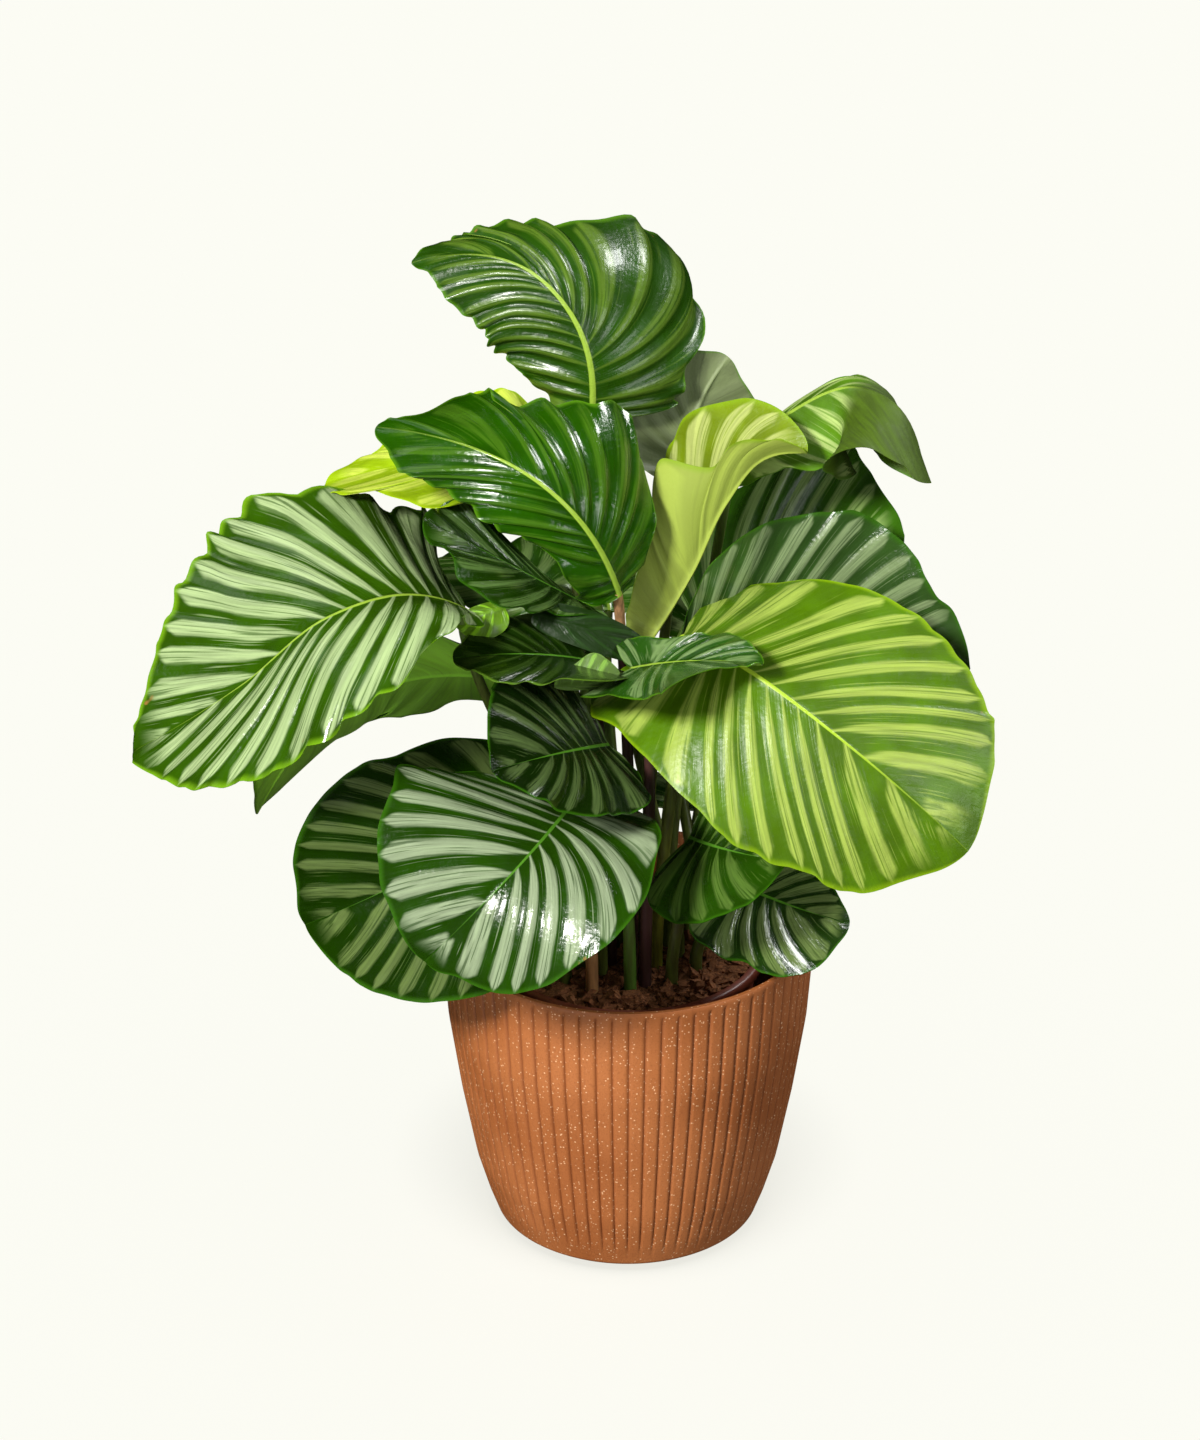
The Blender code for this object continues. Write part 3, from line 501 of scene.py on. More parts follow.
def smooth_course(points, count):
    """Evenly spaced points along a smooth curve through the given ones, and its length."""
    knots = np.array(points, float)
    last = len(knots) - 1
    spans = np.linalg.norm(np.diff(knots, axis=0), axis=1) ** 0.75
    at = np.concatenate([[0], np.cumsum(spans)])
    slopes = np.diff(knots, axis=0) / spans[:, None]
    tangents = np.zeros_like(knots)
    for i in range(1, last):
        tangents[i] = (spans[i] * slopes[i - 1] + spans[i - 1] * slopes[i]) / (spans[i] + spans[i - 1])
    tangents[0] = 2 * slopes[0] - tangents[1]
    tangents[-1] = 2 * slopes[-1] - tangents[-2]
    fine = np.linspace(0, at[-1], 400)
    span = np.clip(np.searchsorted(at, fine, side="right") - 1, 0, last - 1)
    width = spans[span][:, None]
    s = (fine - at[span])[:, None] / width
    curve = ((2 * s**3 - 3 * s**2 + 1) * knots[span] + (s**3 - 2 * s**2 + s) * width * tangents[span]
             + (3 * s**2 - 2 * s**3) * knots[span + 1] + (s**3 - s**2) * width * tangents[span + 1])
    run = np.concatenate([[0], np.cumsum(np.linalg.norm(np.diff(curve, axis=0), axis=1))])
    even = np.linspace(0, run[-1], count)
    return np.stack([np.interp(even, run, curve[:, axis]) for axis in range(3)], axis=1), run[-1]


def rib_frame(leaf, count=81):
    """Along the midrib: points, direction, the way the upper side looks, the way right, and its length."""
    course, length = smooth_course(np.array(leaf["rib"]) * CM, count)
    along = unit(np.gradient(course, axis=0))
    up = np.zeros_like(course)
    middle = count // 2
    face = np.array(leaf["face"], float)
    up[middle] = unit(face - face @ along[middle] * along[middle])
    for step, stop in ((1, count), (-1, -1)):
        for i in range(middle + step, stop, step):
            before = up[i - step]
            up[i] = unit(before - before @ along[i] * along[i])
    roll = np.array(leaf["roll"], float)
    turn = np.radians(np.interp(np.linspace(0, 1, count), np.linspace(0, 1, len(roll)), roll))[:, None]
    up = up * np.cos(turn) + np.cross(along, up) * np.sin(turn)
    return course, along, up, np.cross(along, up), length


def eased(shares, values):
    """Values given at even steps from 0 to 1, read at the shares with soft steps between them."""
    place = np.clip(shares, 0, 1) * (len(values) - 1)
    low = np.minimum(place.astype(int), len(values) - 2)
    ease = (1 - np.cos(pi * (place - low))) / 2
    values = np.array(values, float)
    return values[low] * (1 - ease) + values[low + 1] * ease


def flat_blade(leaf, look, length, m, v):
    """Places on the flat blade, along and across the midrib, for vein m (0 to 1) and share v (-1 to 1)."""
    t = np.abs(v)
    half = np.where(v < 0, *leaf["half"]) * CM
    outline = np.where(v < 0, eased(m, look["edge_left"]), eased(m, look["edge_right"]))
    scallops = np.abs(np.sin(pi * band_phase(leaf, look, m, v))) - SCALLOP_MEAN
    outline = outline + look["scallop"] * scallops * np.sin(pi * m)
    a = pi * m
    point = TIP_SHARE * np.exp(-((pi - a) / TIP_REACH) ** 2)
    lobe = np.where(v < 0, *look["lobes"]) * np.sin(np.minimum(LOBE_TURN * a, pi))
    margin_x = length * ((1 - TIP_SHARE) * (1 - np.cos(a)) / 2 + point - lobe)
    fullness = 1 + leaf["full"] * np.cos(a)
    margin_y = half * np.maximum(np.sin(a), 0) ** MARGIN_POWER * fullness * (1 + outline)
    feet = (1 - TIP_VEIN_SHARE) * m**VEIN_FOOT_POWER + TIP_VEIN_SHARE * m**TIP_VEIN_POWER
    foot_x = length * ((1 - TIP_SHARE) * feet + point)
    knee_x = foot_x + VEIN_SWEEP * (margin_x - foot_x)
    knee_y = VEIN_SPREAD * margin_y
    x = (1 - t) ** 2 * foot_x + 2 * t * (1 - t) * knee_x + t**2 * margin_x
    y = 2 * t * (1 - t) * knee_y + t**2 * margin_y
    return x, y * np.sign(v)


def band_phase(leaf, look, m, v):
    """Counts the pale bands along the blade, one to each whole step, a little unevenly spaced."""
    side = (v > 0).astype(int)
    count = np.array(look["bands"], float)[side]
    start = radians(leaf["phase"]) + side
    swing = BAND_SWING * np.sin(BAND_SWING_TURNS * m + start)
    shake = BAND_SHAKE * np.sin(BAND_SHAKE_TURNS * m + 2 * start)
    return count * (m + CROWDING * (m * m - m)) + swing + shake


def margin_swell(leaf, m, side):
    """Height of the margin's waves, as a share, at vein m of the left (0) or right (1) half."""
    phase = radians(leaf["phase"]) + RIGHT_HALF_PHASE * side
    turns = 2 * pi * leaf["waves"] * m
    return np.sin(turns + phase) + QUICK_SHARE * np.sin(QUICK_WAVES * turns + QUICK_PHASE * phase)


def blade_points(leaf, look, m, v):
    """Places, the upper side's direction, and the flat places along and across the midrib."""
    course, along, up, right, length = rib_frame(leaf)
    x, y = flat_blade(leaf, look, length, m, v)
    u = np.clip(x / length, 0, 1)
    steps = np.linspace(0, 1, len(course))

    def read(vectors):
        return np.stack([np.interp(u, steps, vectors[:, axis]) for axis in range(3)], axis=-1)

    ahead = unit(read(along))
    over = unit(read(up))
    aside = unit(read(right))
    side = (v > 0).astype(int)
    sign = 2 * side - 1
    lift = np.radians(np.array(leaf["lift"], float))[side]
    bend = np.radians(np.array(leaf["curl"], float))[side] / (np.array(leaf["half"]) * CM)[side]
    bend = np.where(np.abs(bend) < LEAST_BEND, LEAST_BEND, bend)
    angle = lift + bend * np.abs(y)
    out = (sign * (np.sin(angle) - np.sin(lift)) / bend)[..., None]
    rise = ((np.cos(lift) - np.cos(angle)) / bend)[..., None]
    places = read(course) + (x - u * length)[..., None] * ahead + out * aside + rise * over
    looks = over * np.cos(angle)[..., None] - aside * (sign * np.sin(angle))[..., None]
    height = leaf["wave"] * CM * v**2 * np.maximum(np.sin(pi * m), 0) ** WAVE_POWER
    wave = (height * margin_swell(leaf, m, side))[..., None]
    return places + wave * looks, looks, u, np.abs(y)


def blade_relief(look, bands, m, t):
    """Height of the folds between the bands and of the crinkles towards the rim."""
    ends = np.sin(pi * m)
    run = np.minimum(t / FOLD_RUN, 1) * np.minimum((1 - t) / FOLD_RUN, 1) ** FOLD_MARGIN_POWER
    pleat = -look["pleat"] * MM * run * ends**FOLD_END_POWER * np.cos(2 * pi * bands)
    crinkle = t**CRINKLE_POWER * ends**CRINKLE_END_POWER * np.sin(2 * pi * CRINKLES_PER_BAND * bands)
    return pleat + look["ripple"] * MM * crinkle


def midrib(u, far, height, tip_breadth, more_breadth, power):
    """How far the midrib stands off the blade, at share u of its length and the distance from its middle."""
    breadth = tip_breadth + more_breadth * (1 - u)
    return height * (1 - u) ** power * np.exp(-(far / breadth) ** 2)


def blade_faces(rows, columns):
    """Faces of a closed blade: the upper side's, the lower side's and the rim's, as three lists."""
    inner = (rows - 1) * (columns + 1)
    tip = inner + 1
    lower = inner + 2

    def at(row, column):
        return 1 + (row - 1) * (columns + 1) + column

    upper_side = []
    for column in range(columns):
        upper_side.append((0, at(1, column + 1), at(1, column)))
        upper_side.append((tip, at(rows - 1, column), at(rows - 1, column + 1)))
    for row in range(1, rows - 1):
        for column in range(columns):
            upper_side.append((at(row, column), at(row, column + 1),
                               at(row + 1, column + 1), at(row + 1, column)))
    lower_side = [tuple(corner + lower for corner in reversed(face)) for face in upper_side]
    rim_line = [0] + [at(row, 0) for row in range(1, rows)] + [tip]
    rim_line += [at(row, columns) for row in range(rows - 1, 0, -1)]
    rim = [(a, b, b + lower, a + lower) for a, b in zip(rim_line, rim_line[1:] + rim_line[:1])]
    return upper_side, lower_side, rim


def new_piece(name, vertices, faces, materials, indices=None):
    """A smooth mesh piece with its materials; indices gives the material of each face."""
    mesh = bpy.data.meshes.new(name)
    mesh.from_pydata([tuple(map(float, vertex)) for vertex in vertices], [], faces)
    for material in materials:
        mesh.materials.append(material)
    if indices is not None:
        mesh.polygons.foreach_set("material_index", indices)
    mesh.shade_smooth()
    mesh.set_sharp_from_angle(angle=radians(SHARP_ANGLE))
    piece = bpy.data.objects.new(name, mesh)
    bpy.context.scene.collection.objects.link(piece)
    return piece


def mark(piece, name, values):
    """Writes one number for each vertex, which materials read by its name."""
    attribute = piece.data.attributes.new(name, "FLOAT", "POINT")
    attribute.data.foreach_set("value", np.asarray(values, np.float32).ravel())


def blade_piece(name, leaf, look, rows):
    """A blade: pleated along its side veins, with a raised midrib, waved margin and thin rim."""
    across = np.linspace(0, 1, BLADE_COLUMNS + 1) ** COLUMN_POWER
    shares = np.concatenate([-across[:0:-1], across])
    m, v = np.meshgrid(np.linspace(0, 1, rows + 1), shares, indexing="ij")
    places, looks, u, far = blade_points(leaf, look, m, v)
    places = np.clip(places, *INNER_BOX)
    bands = band_phase(leaf, look, m, v)
    t = np.abs(v)
    relief = blade_relief(look, bands, m, t)
    thick = BLADE_THICKNESS + (RIM_THICKNESS - BLADE_THICKNESS) * t**3
    above = places + looks * (thick / 2 + relief + midrib(u, far, **MIDRIB_ABOVE))[..., None]
    below = places + looks * (relief - thick / 2 - midrib(u, far, **MIDRIB_BELOW))[..., None]
    middle = BLADE_COLUMNS

    def layer(grid):
        ring = grid[1:-1].reshape(-1, *grid.shape[2:])
        return np.concatenate([grid[0, middle][None], ring, grid[-1, middle][None]])

    upper_side, lower_side, rim = blade_faces(rows, 2 * BLADE_COLUMNS)
    indices = [0] * len(upper_side) + [1] * len(lower_side) + [0] * len(rim)
    materials = [leaf_upper(name, look), leaf_under(name, look)]
    piece = new_piece(name, np.concatenate([layer(above), layer(below)]),
                      upper_side + lower_side + rim, materials, indices)
    for label, grid in (("band", bands), ("across", t), ("rib_distance", far / MM), ("along", u)):
        mark(piece, label, np.tile(layer(grid), 2))
    return piece


def build_blade(name):
    """One leaf's blade, in place of its solid."""
    piece = blade_piece("blade_" + name, LEAVES[name], LOOKS[name], BLADE_ROWS)
    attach(piece, "root")
    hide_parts("leaf_" + name)


def build_lobe(name):
    """A small folded lobe of a blade, which shows its paler side."""
    leaf = dict(PLAIN_LEAF, wave=0.05, waves=2, **LOBES[name])
    paint = leaf["paint"]
    look = dict(MID, bands=(4, 4), width=0.3, pleat=0.2, ripple=0.2, satin=1, green=paint,
                silver=[value * 1.4 for value in paint], edge=[value * 1.1 for value in paint],
                rib=paint, under=paint)
    piece = blade_piece("lobe_" + name, leaf, look, LOBE_ROWS)
    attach(piece, "root")


class Nodes:
    """Short calls that add shader nodes to one material and link them."""

    def __init__(self, name):
        self.material = bpy.data.materials.new(name)
        self.material.use_nodes = True
        self.tree = self.material.node_tree
        self.shader = self.tree.nodes["Principled BSDF"]

    def feed(self, node, inputs):
        for socket, source in inputs.items():
            if isinstance(source, bpy.types.NodeSocket):
                self.tree.links.new(source, node.inputs[socket])
            else:
                node.inputs[socket].default_value = source
        return node

    def new(self, kind, inputs):
        return self.feed(self.tree.nodes.new("ShaderNode" + kind), inputs)

    def attribute(self, name):
        node = self.new("Attribute", {})
        node.attribute_name = name
        return node.outputs["Fac"]

    def math(self, operation, first, second=0.0):
        node = self.new("Math", {0: first, 1: second})
        node.operation = operation
        return node.outputs[0]

    def swing(self, value, size):
        """A value from 0 to 1, made to swing about 0."""
        return self.math("MULTIPLY", self.math("SUBTRACT", value, 0.5), size)

    def ramp(self, value, low, high, start=0.0, end=1.0):
        node = self.new("MapRange", {"Value": value, "From Min": low, "From Max": high,
                                     "To Min": start, "To Max": end})
        node.interpolation_type = "SMOOTHSTEP"
        return node.outputs["Result"]

    def mix(self, factor, first, second):
        node = self.new("Mix", {"Factor": factor, 6: first, 7: second})
        node.data_type = "RGBA"
        return node.outputs[2]

    def tones(self, value, paint, strength):
        """A paint that is darker, to its strength, where the value is low."""
        return self.mix(self.ramp(value, 0.3, 0.7), shaded(paint, strength), linear(paint))

    def noise(self, vector, scale, detail=2.0, roughness=0.5):
        inputs = {"Vector": vector, "Scale": scale, "Detail": detail, "Roughness": roughness}
        return self.new("TexNoise", inputs).outputs["Fac"]

    def places(self):
        return self.new("TexCoord", {}).outputs["Object"]

    def bump(self, height, strength, distance):
        node = self.new("Bump", {"Strength": strength, "Distance": distance, "Height": height})
        self.feed(self.shader, {"Normal": node.outputs[0]})

    def finish(self, colour, roughness, specular=0.5, coat=0.0, coat_roughness=0.1):
        self.feed(self.shader, {"Base Color": colour, "Roughness": roughness, "Specular IOR Level": specular,
                                "Coat Weight": coat, "Coat Roughness": coat_roughness})
        return self.material


def name_seed(name):
    """A small number that differs from leaf to leaf."""
    return float(sum(map(ord, name)) % 29)


def vein_noise(n, per_band, per_half, seed, detail=2.0):
    """Noise drawn out along the side veins."""
    band = n.math("MULTIPLY", n.attribute("band"), per_band)
    across = n.math("MULTIPLY", n.attribute("across"), per_half)
    place = n.new("CombineXYZ", {"X": band, "Y": across, "Z": seed}).outputs[0]
    return n.noise(place, 1.0, detail)


def vein_lines(n, turns, breadth, strength):
    """Fine lines along the side veins, at even steps of the bands."""
    swing = n.math("SINE", n.math("MULTIPLY", n.attribute("band"), turns))
    return n.ramp(n.math("ABSOLUTE", swing), 0.0, breadth, strength, 0.0)


def band_shares(n, look, seed):
    """How pale a place of the blade is, from 0 to 1, and the fine streaks along its veins."""
    across = n.attribute("across")
    streaks = vein_noise(n, 9.0, 2.5, seed, 3.0)
    patches = vein_noise(n, 1.3, 2.0, seed + 5)
    strands = vein_noise(n, 14.0, 1.6, seed + 9, 1.0)
    centre = n.math("ABSOLUTE", n.math("SUBTRACT", n.math("FRACT", n.attribute("band")), 0.5))
    off = n.math("MULTIPLY", centre, 2.0)
    broad = n.ramp(across, *BAND_OPENS, look["width"] * BAND_START, look["width"])
    fade = n.ramp(across, *BAND_ENDS, 0.0, look["width"] + 0.1)
    width = n.math("ADD", n.math("SUBTRACT", broad, fade), n.swing(patches, PATCHINESS))
    inside = n.math("ADD", n.math("SUBTRACT", width, off), n.swing(streaks, RAGGEDNESS))
    pale = n.math("MULTIPLY", n.ramp(inside, -BAND_SOFTNESS, BAND_SOFTNESS), n.ramp(strands, *DARK_LINES))
    inner = n.math("MULTIPLY", n.ramp(across, *CLEAR_OF_RIB), n.ramp(across, *CLEAR_OF_RIM))
    thin = n.math("MULTIPLY", n.ramp(strands, *THIN_LINES), inner)
    pale = n.math("MAXIMUM", pale, thin)
    return n.math("MULTIPLY", pale, n.ramp(n.attribute("along"), *CLEAR_OF_TIP)), streaks


def leaf_upper(name, look):
    """Glossy upper side: green ground, silvery bands along the veins, plain margin and pale midrib."""
    n = Nodes("upper_" + name)
    pale, streaks = band_shares(n, look, name_seed(name))
    across = n.attribute("across")
    along = n.attribute("along")
    green = n.tones(n.noise(n.places(), 38.0, 3.0), look["green"], 0.82)
    silver = n.tones(streaks, look["silver"], 0.86)
    colour = n.mix(n.math("MULTIPLY", pale, BAND_STRENGTH), green, silver)
    colour = n.mix(n.ramp(across, *RIM_PAINT), colour, linear(look["edge"]))
    colour = n.mix(vein_lines(n, 22.0, 0.25, FINE_VEINS), colour, shaded(look["green"], 0.55))
    breadth = n.ramp(along, 0.0, 0.9, 1.5 * look["rib_width"], 0.35)
    close = n.ramp(n.attribute("rib_distance"), n.math("MULTIPLY", breadth, 0.6), breadth, 1.0, 0.0)
    rib = n.math("MULTIPLY", close, n.ramp(along, *RIB_PAINT_ENDS))
    colour = n.mix(rib, colour, linear(look["rib"]))
    low, high = (share + SATIN_ROUGHNESS * look["satin"] for share in GLOSS_ROUGHNESS)
    roughness = n.ramp(n.noise(n.places(), 120.0, 3.0), 0.3, 0.7, low, high)
    if look["bare_from"] is not None:
        bare = n.ramp(along, look["bare_from"] - BARE_BLUR, look["bare_from"] + BARE_BLUR)
        colour = n.mix(bare, colour, n.tones(streaks, look["under"], 0.82))
        roughness = n.math("ADD", roughness, n.math("MULTIPLY", bare, BARE_ROUGHNESS))
    spots = n.noise(n.places(), 95.0, 1.0)
    blemish = n.math("MULTIPLY", n.ramp(spots, *BLEMISH_SPOTS), n.ramp(across, *BLEMISH_RIM))
    colour = n.mix(blemish, colour, linear(BLEMISH))
    grain = n.math("MULTIPLY", n.noise(n.places(), 420.0, 3.0), 0.5)
    dimples = n.math("MULTIPLY", n.noise(n.places(), 95.0, 2.0), 1.1)
    fine = n.math("SUBTRACT", grain, n.math("MULTIPLY", streaks, 0.7))
    n.bump(n.math("ADD", fine, dimples), 0.5, 0.9 * MM)
    return n.finish(colour, roughness, specular=0.32, coat=0.3 * (1 - look["satin"]), coat_roughness=0.06)


def leaf_under(name, look):
    """Matt underside: paler plain green with faint bands and fine darker veins."""
    n = Nodes("under_" + name)
    pale, streaks = band_shares(n, look, name_seed(name))
    paint = look["under"]
    depth = 1 - 0.6 * look["satin"]
    colour = n.mix(n.math("MULTIPLY", pale, BAND_STRENGTH_BELOW), linear(paint), shaded(paint, 1.22))
    colour = n.mix(vein_lines(n, pi, 0.14, 0.35 * depth), colour, shaded(paint, 0.70))
    colour = n.mix(n.ramp(streaks, 0.35, 0.75, 0.0, 0.25 * depth), colour, shaded(paint, 0.80))
    colour = n.mix(n.ramp(n.attribute("across"), *RIM_PAINT_BELOW), colour, linear(look["edge"]))
    colour = n.mix(n.ramp(n.attribute("rib_distance"), *RIB_PAINT_BELOW), colour, shaded(paint, 1.15))
    n.bump(n.math("SUBTRACT", n.noise(n.places(), 500.0, 2.0), streaks), 0.25, 0.5 * MM)
    return n.finish(colour, 0.55, specular=0.35)


def stalk_points(leaf, steps):
    """The stalk's middle line: out of its hole, then an arch into the blade's midrib."""
    course, along, up, _, _ = rib_frame(leaf)
    slant = radians(leaf["arrive"])
    arrival = along[0] * cos(slant) + up[0] * sin(slant)
    foot = np.array([leaf["root"][0] * CM, leaf["root"][1] * CM, SOIL_TOP - HOLE_DEPTH])
    mouth = foot + (0, 0, HOLE_DEPTH + SOIL_HUMP + STALK_CLEAR)
    end = course[0] + along[0] * STALK_END_IN - up[0] * STALK_END_DOWN
    knee = mouth + (0, 0, STALK_RISE * (end[2] - mouth[2]))
    shoulder = end - arrival * leaf["reach"] * CM
    t = np.linspace(0, 1, steps + 1)[:, None]
    arch = (1 - t) ** 3 * mouth + 3 * t * (1 - t) ** 2 * knee + 3 * t**2 * (1 - t) * shoulder + t**3 * end
    return np.concatenate([foot[None], arch])


def ring_faces(first, rings, sides):
    """Faces between rings of points that follow each other from the first one on."""
    faces = []
    for a in range(first, first + (rings - 1) * sides, sides):
        for side in range(sides):
            after = (side + 1) % sides
            faces.append((a + side, a + after, a + sides + after, a + sides + side))
    return faces


def tube(course, radii, sides):
    """Vertices and faces of a closed tube along the course."""
    ahead = unit(np.gradient(course, axis=0))
    aside = np.array([1.0, 0.02, 0])
    vertices = []
    for centre, way, radius in zip(course, ahead, radii):
        aside = unit(aside - aside @ way * way)
        other = np.cross(way, aside)
        for side in range(sides):
            turn = 2 * pi * side / sides
            vertices.append(centre + radius * (cos(turn) * aside + sin(turn) * other))
    last = (len(course) - 1) * sides
    ends = [tuple(range(sides - 1, -1, -1)), tuple(range(last, last + sides))]
    return vertices, ends + ring_faces(0, len(course), sides)


def build_stalk(name):
    """One leaf stalk: thicker at the soil, with a slight swelling under the blade."""
    leaf = LEAVES[name]
    course = stalk_points(leaf, STALK_STEPS)
    run = np.linspace(0, 1, len(course))
    radii = STALK_FOOT_RADIUS + (STALK_TOP_RADIUS - STALK_FOOT_RADIUS) * run
    radii = radii * (1 + STALK_SWELLING * np.exp(-((run - 0.93) / 0.05) ** 2))
    vertices, faces = tube(course, radii, STALK_SIDES)
    piece = new_piece("petiole_" + name, vertices, faces, [stalk_material(name)])
    mark(piece, "height", np.repeat(run, STALK_SIDES))
    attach(piece, "root")
    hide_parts("stalk_" + name)


def stalk_material(name):
    """Satin stalk whose colour changes from the soil to the blade, with streaks along it."""
    n = Nodes("petiole_" + name)
    low, middle, high = STALK_PAINTS.get(name, PLAIN_STALK)
    height = n.attribute("height")
    colour = n.mix(n.ramp(height, 0.1, 0.5), linear(low), linear(middle))
    colour = n.mix(n.ramp(height, 0.72, 0.9), colour, linear(high))
    stretched = n.new("Mapping", {"Vector": n.places(), "Scale": (1, 1, 0.12)})
    streaks = n.noise(stretched.outputs[0], 420.0, 3.0)
    colour = n.mix(n.ramp(streaks, 0.35, 0.7, 0.0, 0.5), colour, linear(STALK_STREAKS))
    n.bump(streaks, 0.3, 0.5 * MM)
    return n.finish(colour, 0.42, specular=0.45)


def turned(profile, sides, relief=None):
    """Vertices and faces of a closed turned shape; the profile's first and last points are on the axis."""
    vertices = [(0, 0, profile[0][1])]
    for ring, (radius, z) in enumerate(profile[1:-1]):
        for side in range(sides):
            r = radius - (relief(ring, z, side) if relief else 0)
            turn = 2 * pi * side / sides
            vertices.append((r * cos(turn), r * sin(turn), z))
    vertices.append((0, 0, profile[-1][1]))
    end = len(vertices) - 1
    last = end - sides
    faces = ring_faces(1, len(profile) - 2, sides)
    for side in range(sides):
        after = (side + 1) % sides
        faces += [(0, 1 + after, 1 + side), (end, last + side, last + after)]
    return vertices, faces


def pot_radius(share):
    """Outer radius of the outer pot at a share of its height."""
    shares, radii = zip(*POT_SHAPE)
    return POT_RADIUS * float(np.interp(share, shares, radii))


def build_outer_pot():
    """The outer pot: rounded foot, flat ribs between narrow grooves, thin plain lip."""
    foot = np.linspace(0, 0.1, 14)
    wall = np.linspace(0.13, 0.965, 30)
    brim = [0.975, 0.985, 0.997]
    outside = [(pot_radius(share), POT_HEIGHT * share) for share in np.concatenate([foot, wall, brim])]
    outside[0] = (outside[0][0] - 1 * MM, 0.0)
    rings = len(outside)
    lip = [(POT_RADIUS - 0.4 * MM, POT_HEIGHT), (POT_RADIUS - POT_WALL + 0.6 * MM, POT_HEIGHT),
           (POT_RADIUS - POT_WALL, POT_HEIGHT - 0.8 * MM)]
    inside = [(pot_radius(share) - POT_WALL, POT_HEIGHT * share) for share in (0.9, 0.45, 0.10)]
    floor_edge = pot_radius(0.03) - POT_WALL
    inside += [(floor_edge, POT_FLOOR + 2 * MM), (floor_edge - 4 * MM, POT_FLOOR)]
    profile = [(0, 0)] + outside + lip + inside + [(0, POT_FLOOR)]
    sides = RIB_STEPS * POT_RIBS

    def relief(ring, z, side):
        share = z / POT_HEIGHT
        if ring >= rings:
            return 0
        run_in = min(max((share - GROOVE_FOOT) / GROOVE_RUN_IN, 0), 1)
        run_out = min(max((GROOVE_HEAD - share) / GROOVE_RUN_OUT, 0), 1)
        place = side % RIB_STEPS
        across = 1 if place == 0 else RIB_SHOULDER if place in (1, RIB_STEPS - 1) else 0
        return run_in * run_out * RIB_DEPTH * across

    vertices, faces = turned(profile, sides, relief)
    piece = new_piece("planter", vertices, faces, [pot_material()])
    depths = [relief(ring, z, side) for ring, (_, z) in enumerate(profile[1:-1]) for side in range(sides)]
    # Groove depth at each vertex, which the pot's material reads to paint shade into the grooves
    mark(piece, "groove", np.array([0, *depths, 0]) / RIB_DEPTH)
    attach(piece, "root")
    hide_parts("outer_pot")


def pot_material():
    """Matt terracotta-coloured composite with small pale flecks and slight cloudiness."""
    n = Nodes("speckled_composite")
    places = n.places()
    cloud = n.noise(places, 14.0, 4.0)
    colour = n.mix(n.ramp(cloud, 0.3, 0.7), linear(POT_DARK), linear(POT_LIGHT))
    grain = n.noise(places, 900.0, 3.0)
    colour = n.mix(n.ramp(grain, 0.45, 0.8, 0.0, 0.4), colour, linear(POT_GRAIN))
    fleck = n.new("TexVoronoi", {"Vector": places, "Scale": 470.0, "Randomness": 1.0})
    chosen = n.ramp(n.noise(places, 240.0, 1.0), 0.41, 0.47)
    shown = n.math("MULTIPLY", n.ramp(fleck.outputs["Distance"], 0.12, 0.26, 1.0, 0.0), chosen)
    colour = n.mix(n.math("MULTIPLY", shown, 0.75), colour, linear(POT_FLECK))
    # Painted shade: darker paint in the grooves, deeper where the groove is deeper
    colour = n.mix(n.math("MULTIPLY", n.attribute("groove"), 0.6), colour, linear(POT_GROOVE_SHADE))
    n.bump(grain, 0.25, 0.4 * MM)
    return n.finish(colour, n.ramp(cloud, 0.3, 0.7, 0.48, 0.60), specular=0.4)


def build_liner():
    """The nursery pot: thin tapered wall and a rounded, rolled lip."""
    lip = LINER_RADIUS + LINER_LIP
    lip_foot = LINER_TOP - LINER_LIP_HEIGHT
    floor = LINER_BASE + 2 * LINER_WALL
    share = (lip_foot - LINER_BASE) / (LINER_TOP - LINER_BASE)
    neck = LINER_FOOT + (LINER_RADIUS - LINER_FOOT) * share
    inner = LINER_RADIUS - LINER_WALL
    profile = [(0, LINER_BASE), (LINER_FOOT, LINER_BASE), (neck, lip_foot), (lip - 1 * MM, lip_foot),
               (lip, lip_foot + 1 * MM), (lip, LINER_TOP - 1.6 * MM), (lip - 0.5 * MM, LINER_TOP - 0.5 * MM),
               (lip - 1.4 * MM, LINER_TOP), (inner + 0.5 * MM, LINER_TOP), (inner, LINER_TOP - 0.6 * MM),
               (LINER_FOOT - LINER_WALL, floor), (0, floor)]
    vertices, faces = turned(profile, LINER_SIDES)
    n = Nodes("nursery_plastic")
    grain = n.noise(n.places(), 260.0, 3.0)
    colour = n.mix(grain, linear(LINER_DARK), linear(LINER_LIGHT))
    n.bump(grain, 0.15, 0.4 * MM)
    piece = new_piece("liner", vertices, faces, [n.finish(colour, 0.42)])
    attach(piece, "root")
    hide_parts("nursery_pot")


def soil_height(x, y):
    """Height of the loose soil's surface, before its chips."""
    share = min(np.hypot(x, y) / SOIL_RADIUS, 1)
    lumps = noise.noise(Vector((x * LUMP_SCALE, y * LUMP_SCALE, 0)))
    crumbs = noise.noise(Vector((x * CRUMB_SCALE, y * CRUMB_SCALE, 3)))
    return SOIL_TOP + SOIL_HUMP * (1 - share**2) - SOIL_SINK + LUMP_HEIGHT * (lumps + 0.5 * crumbs)


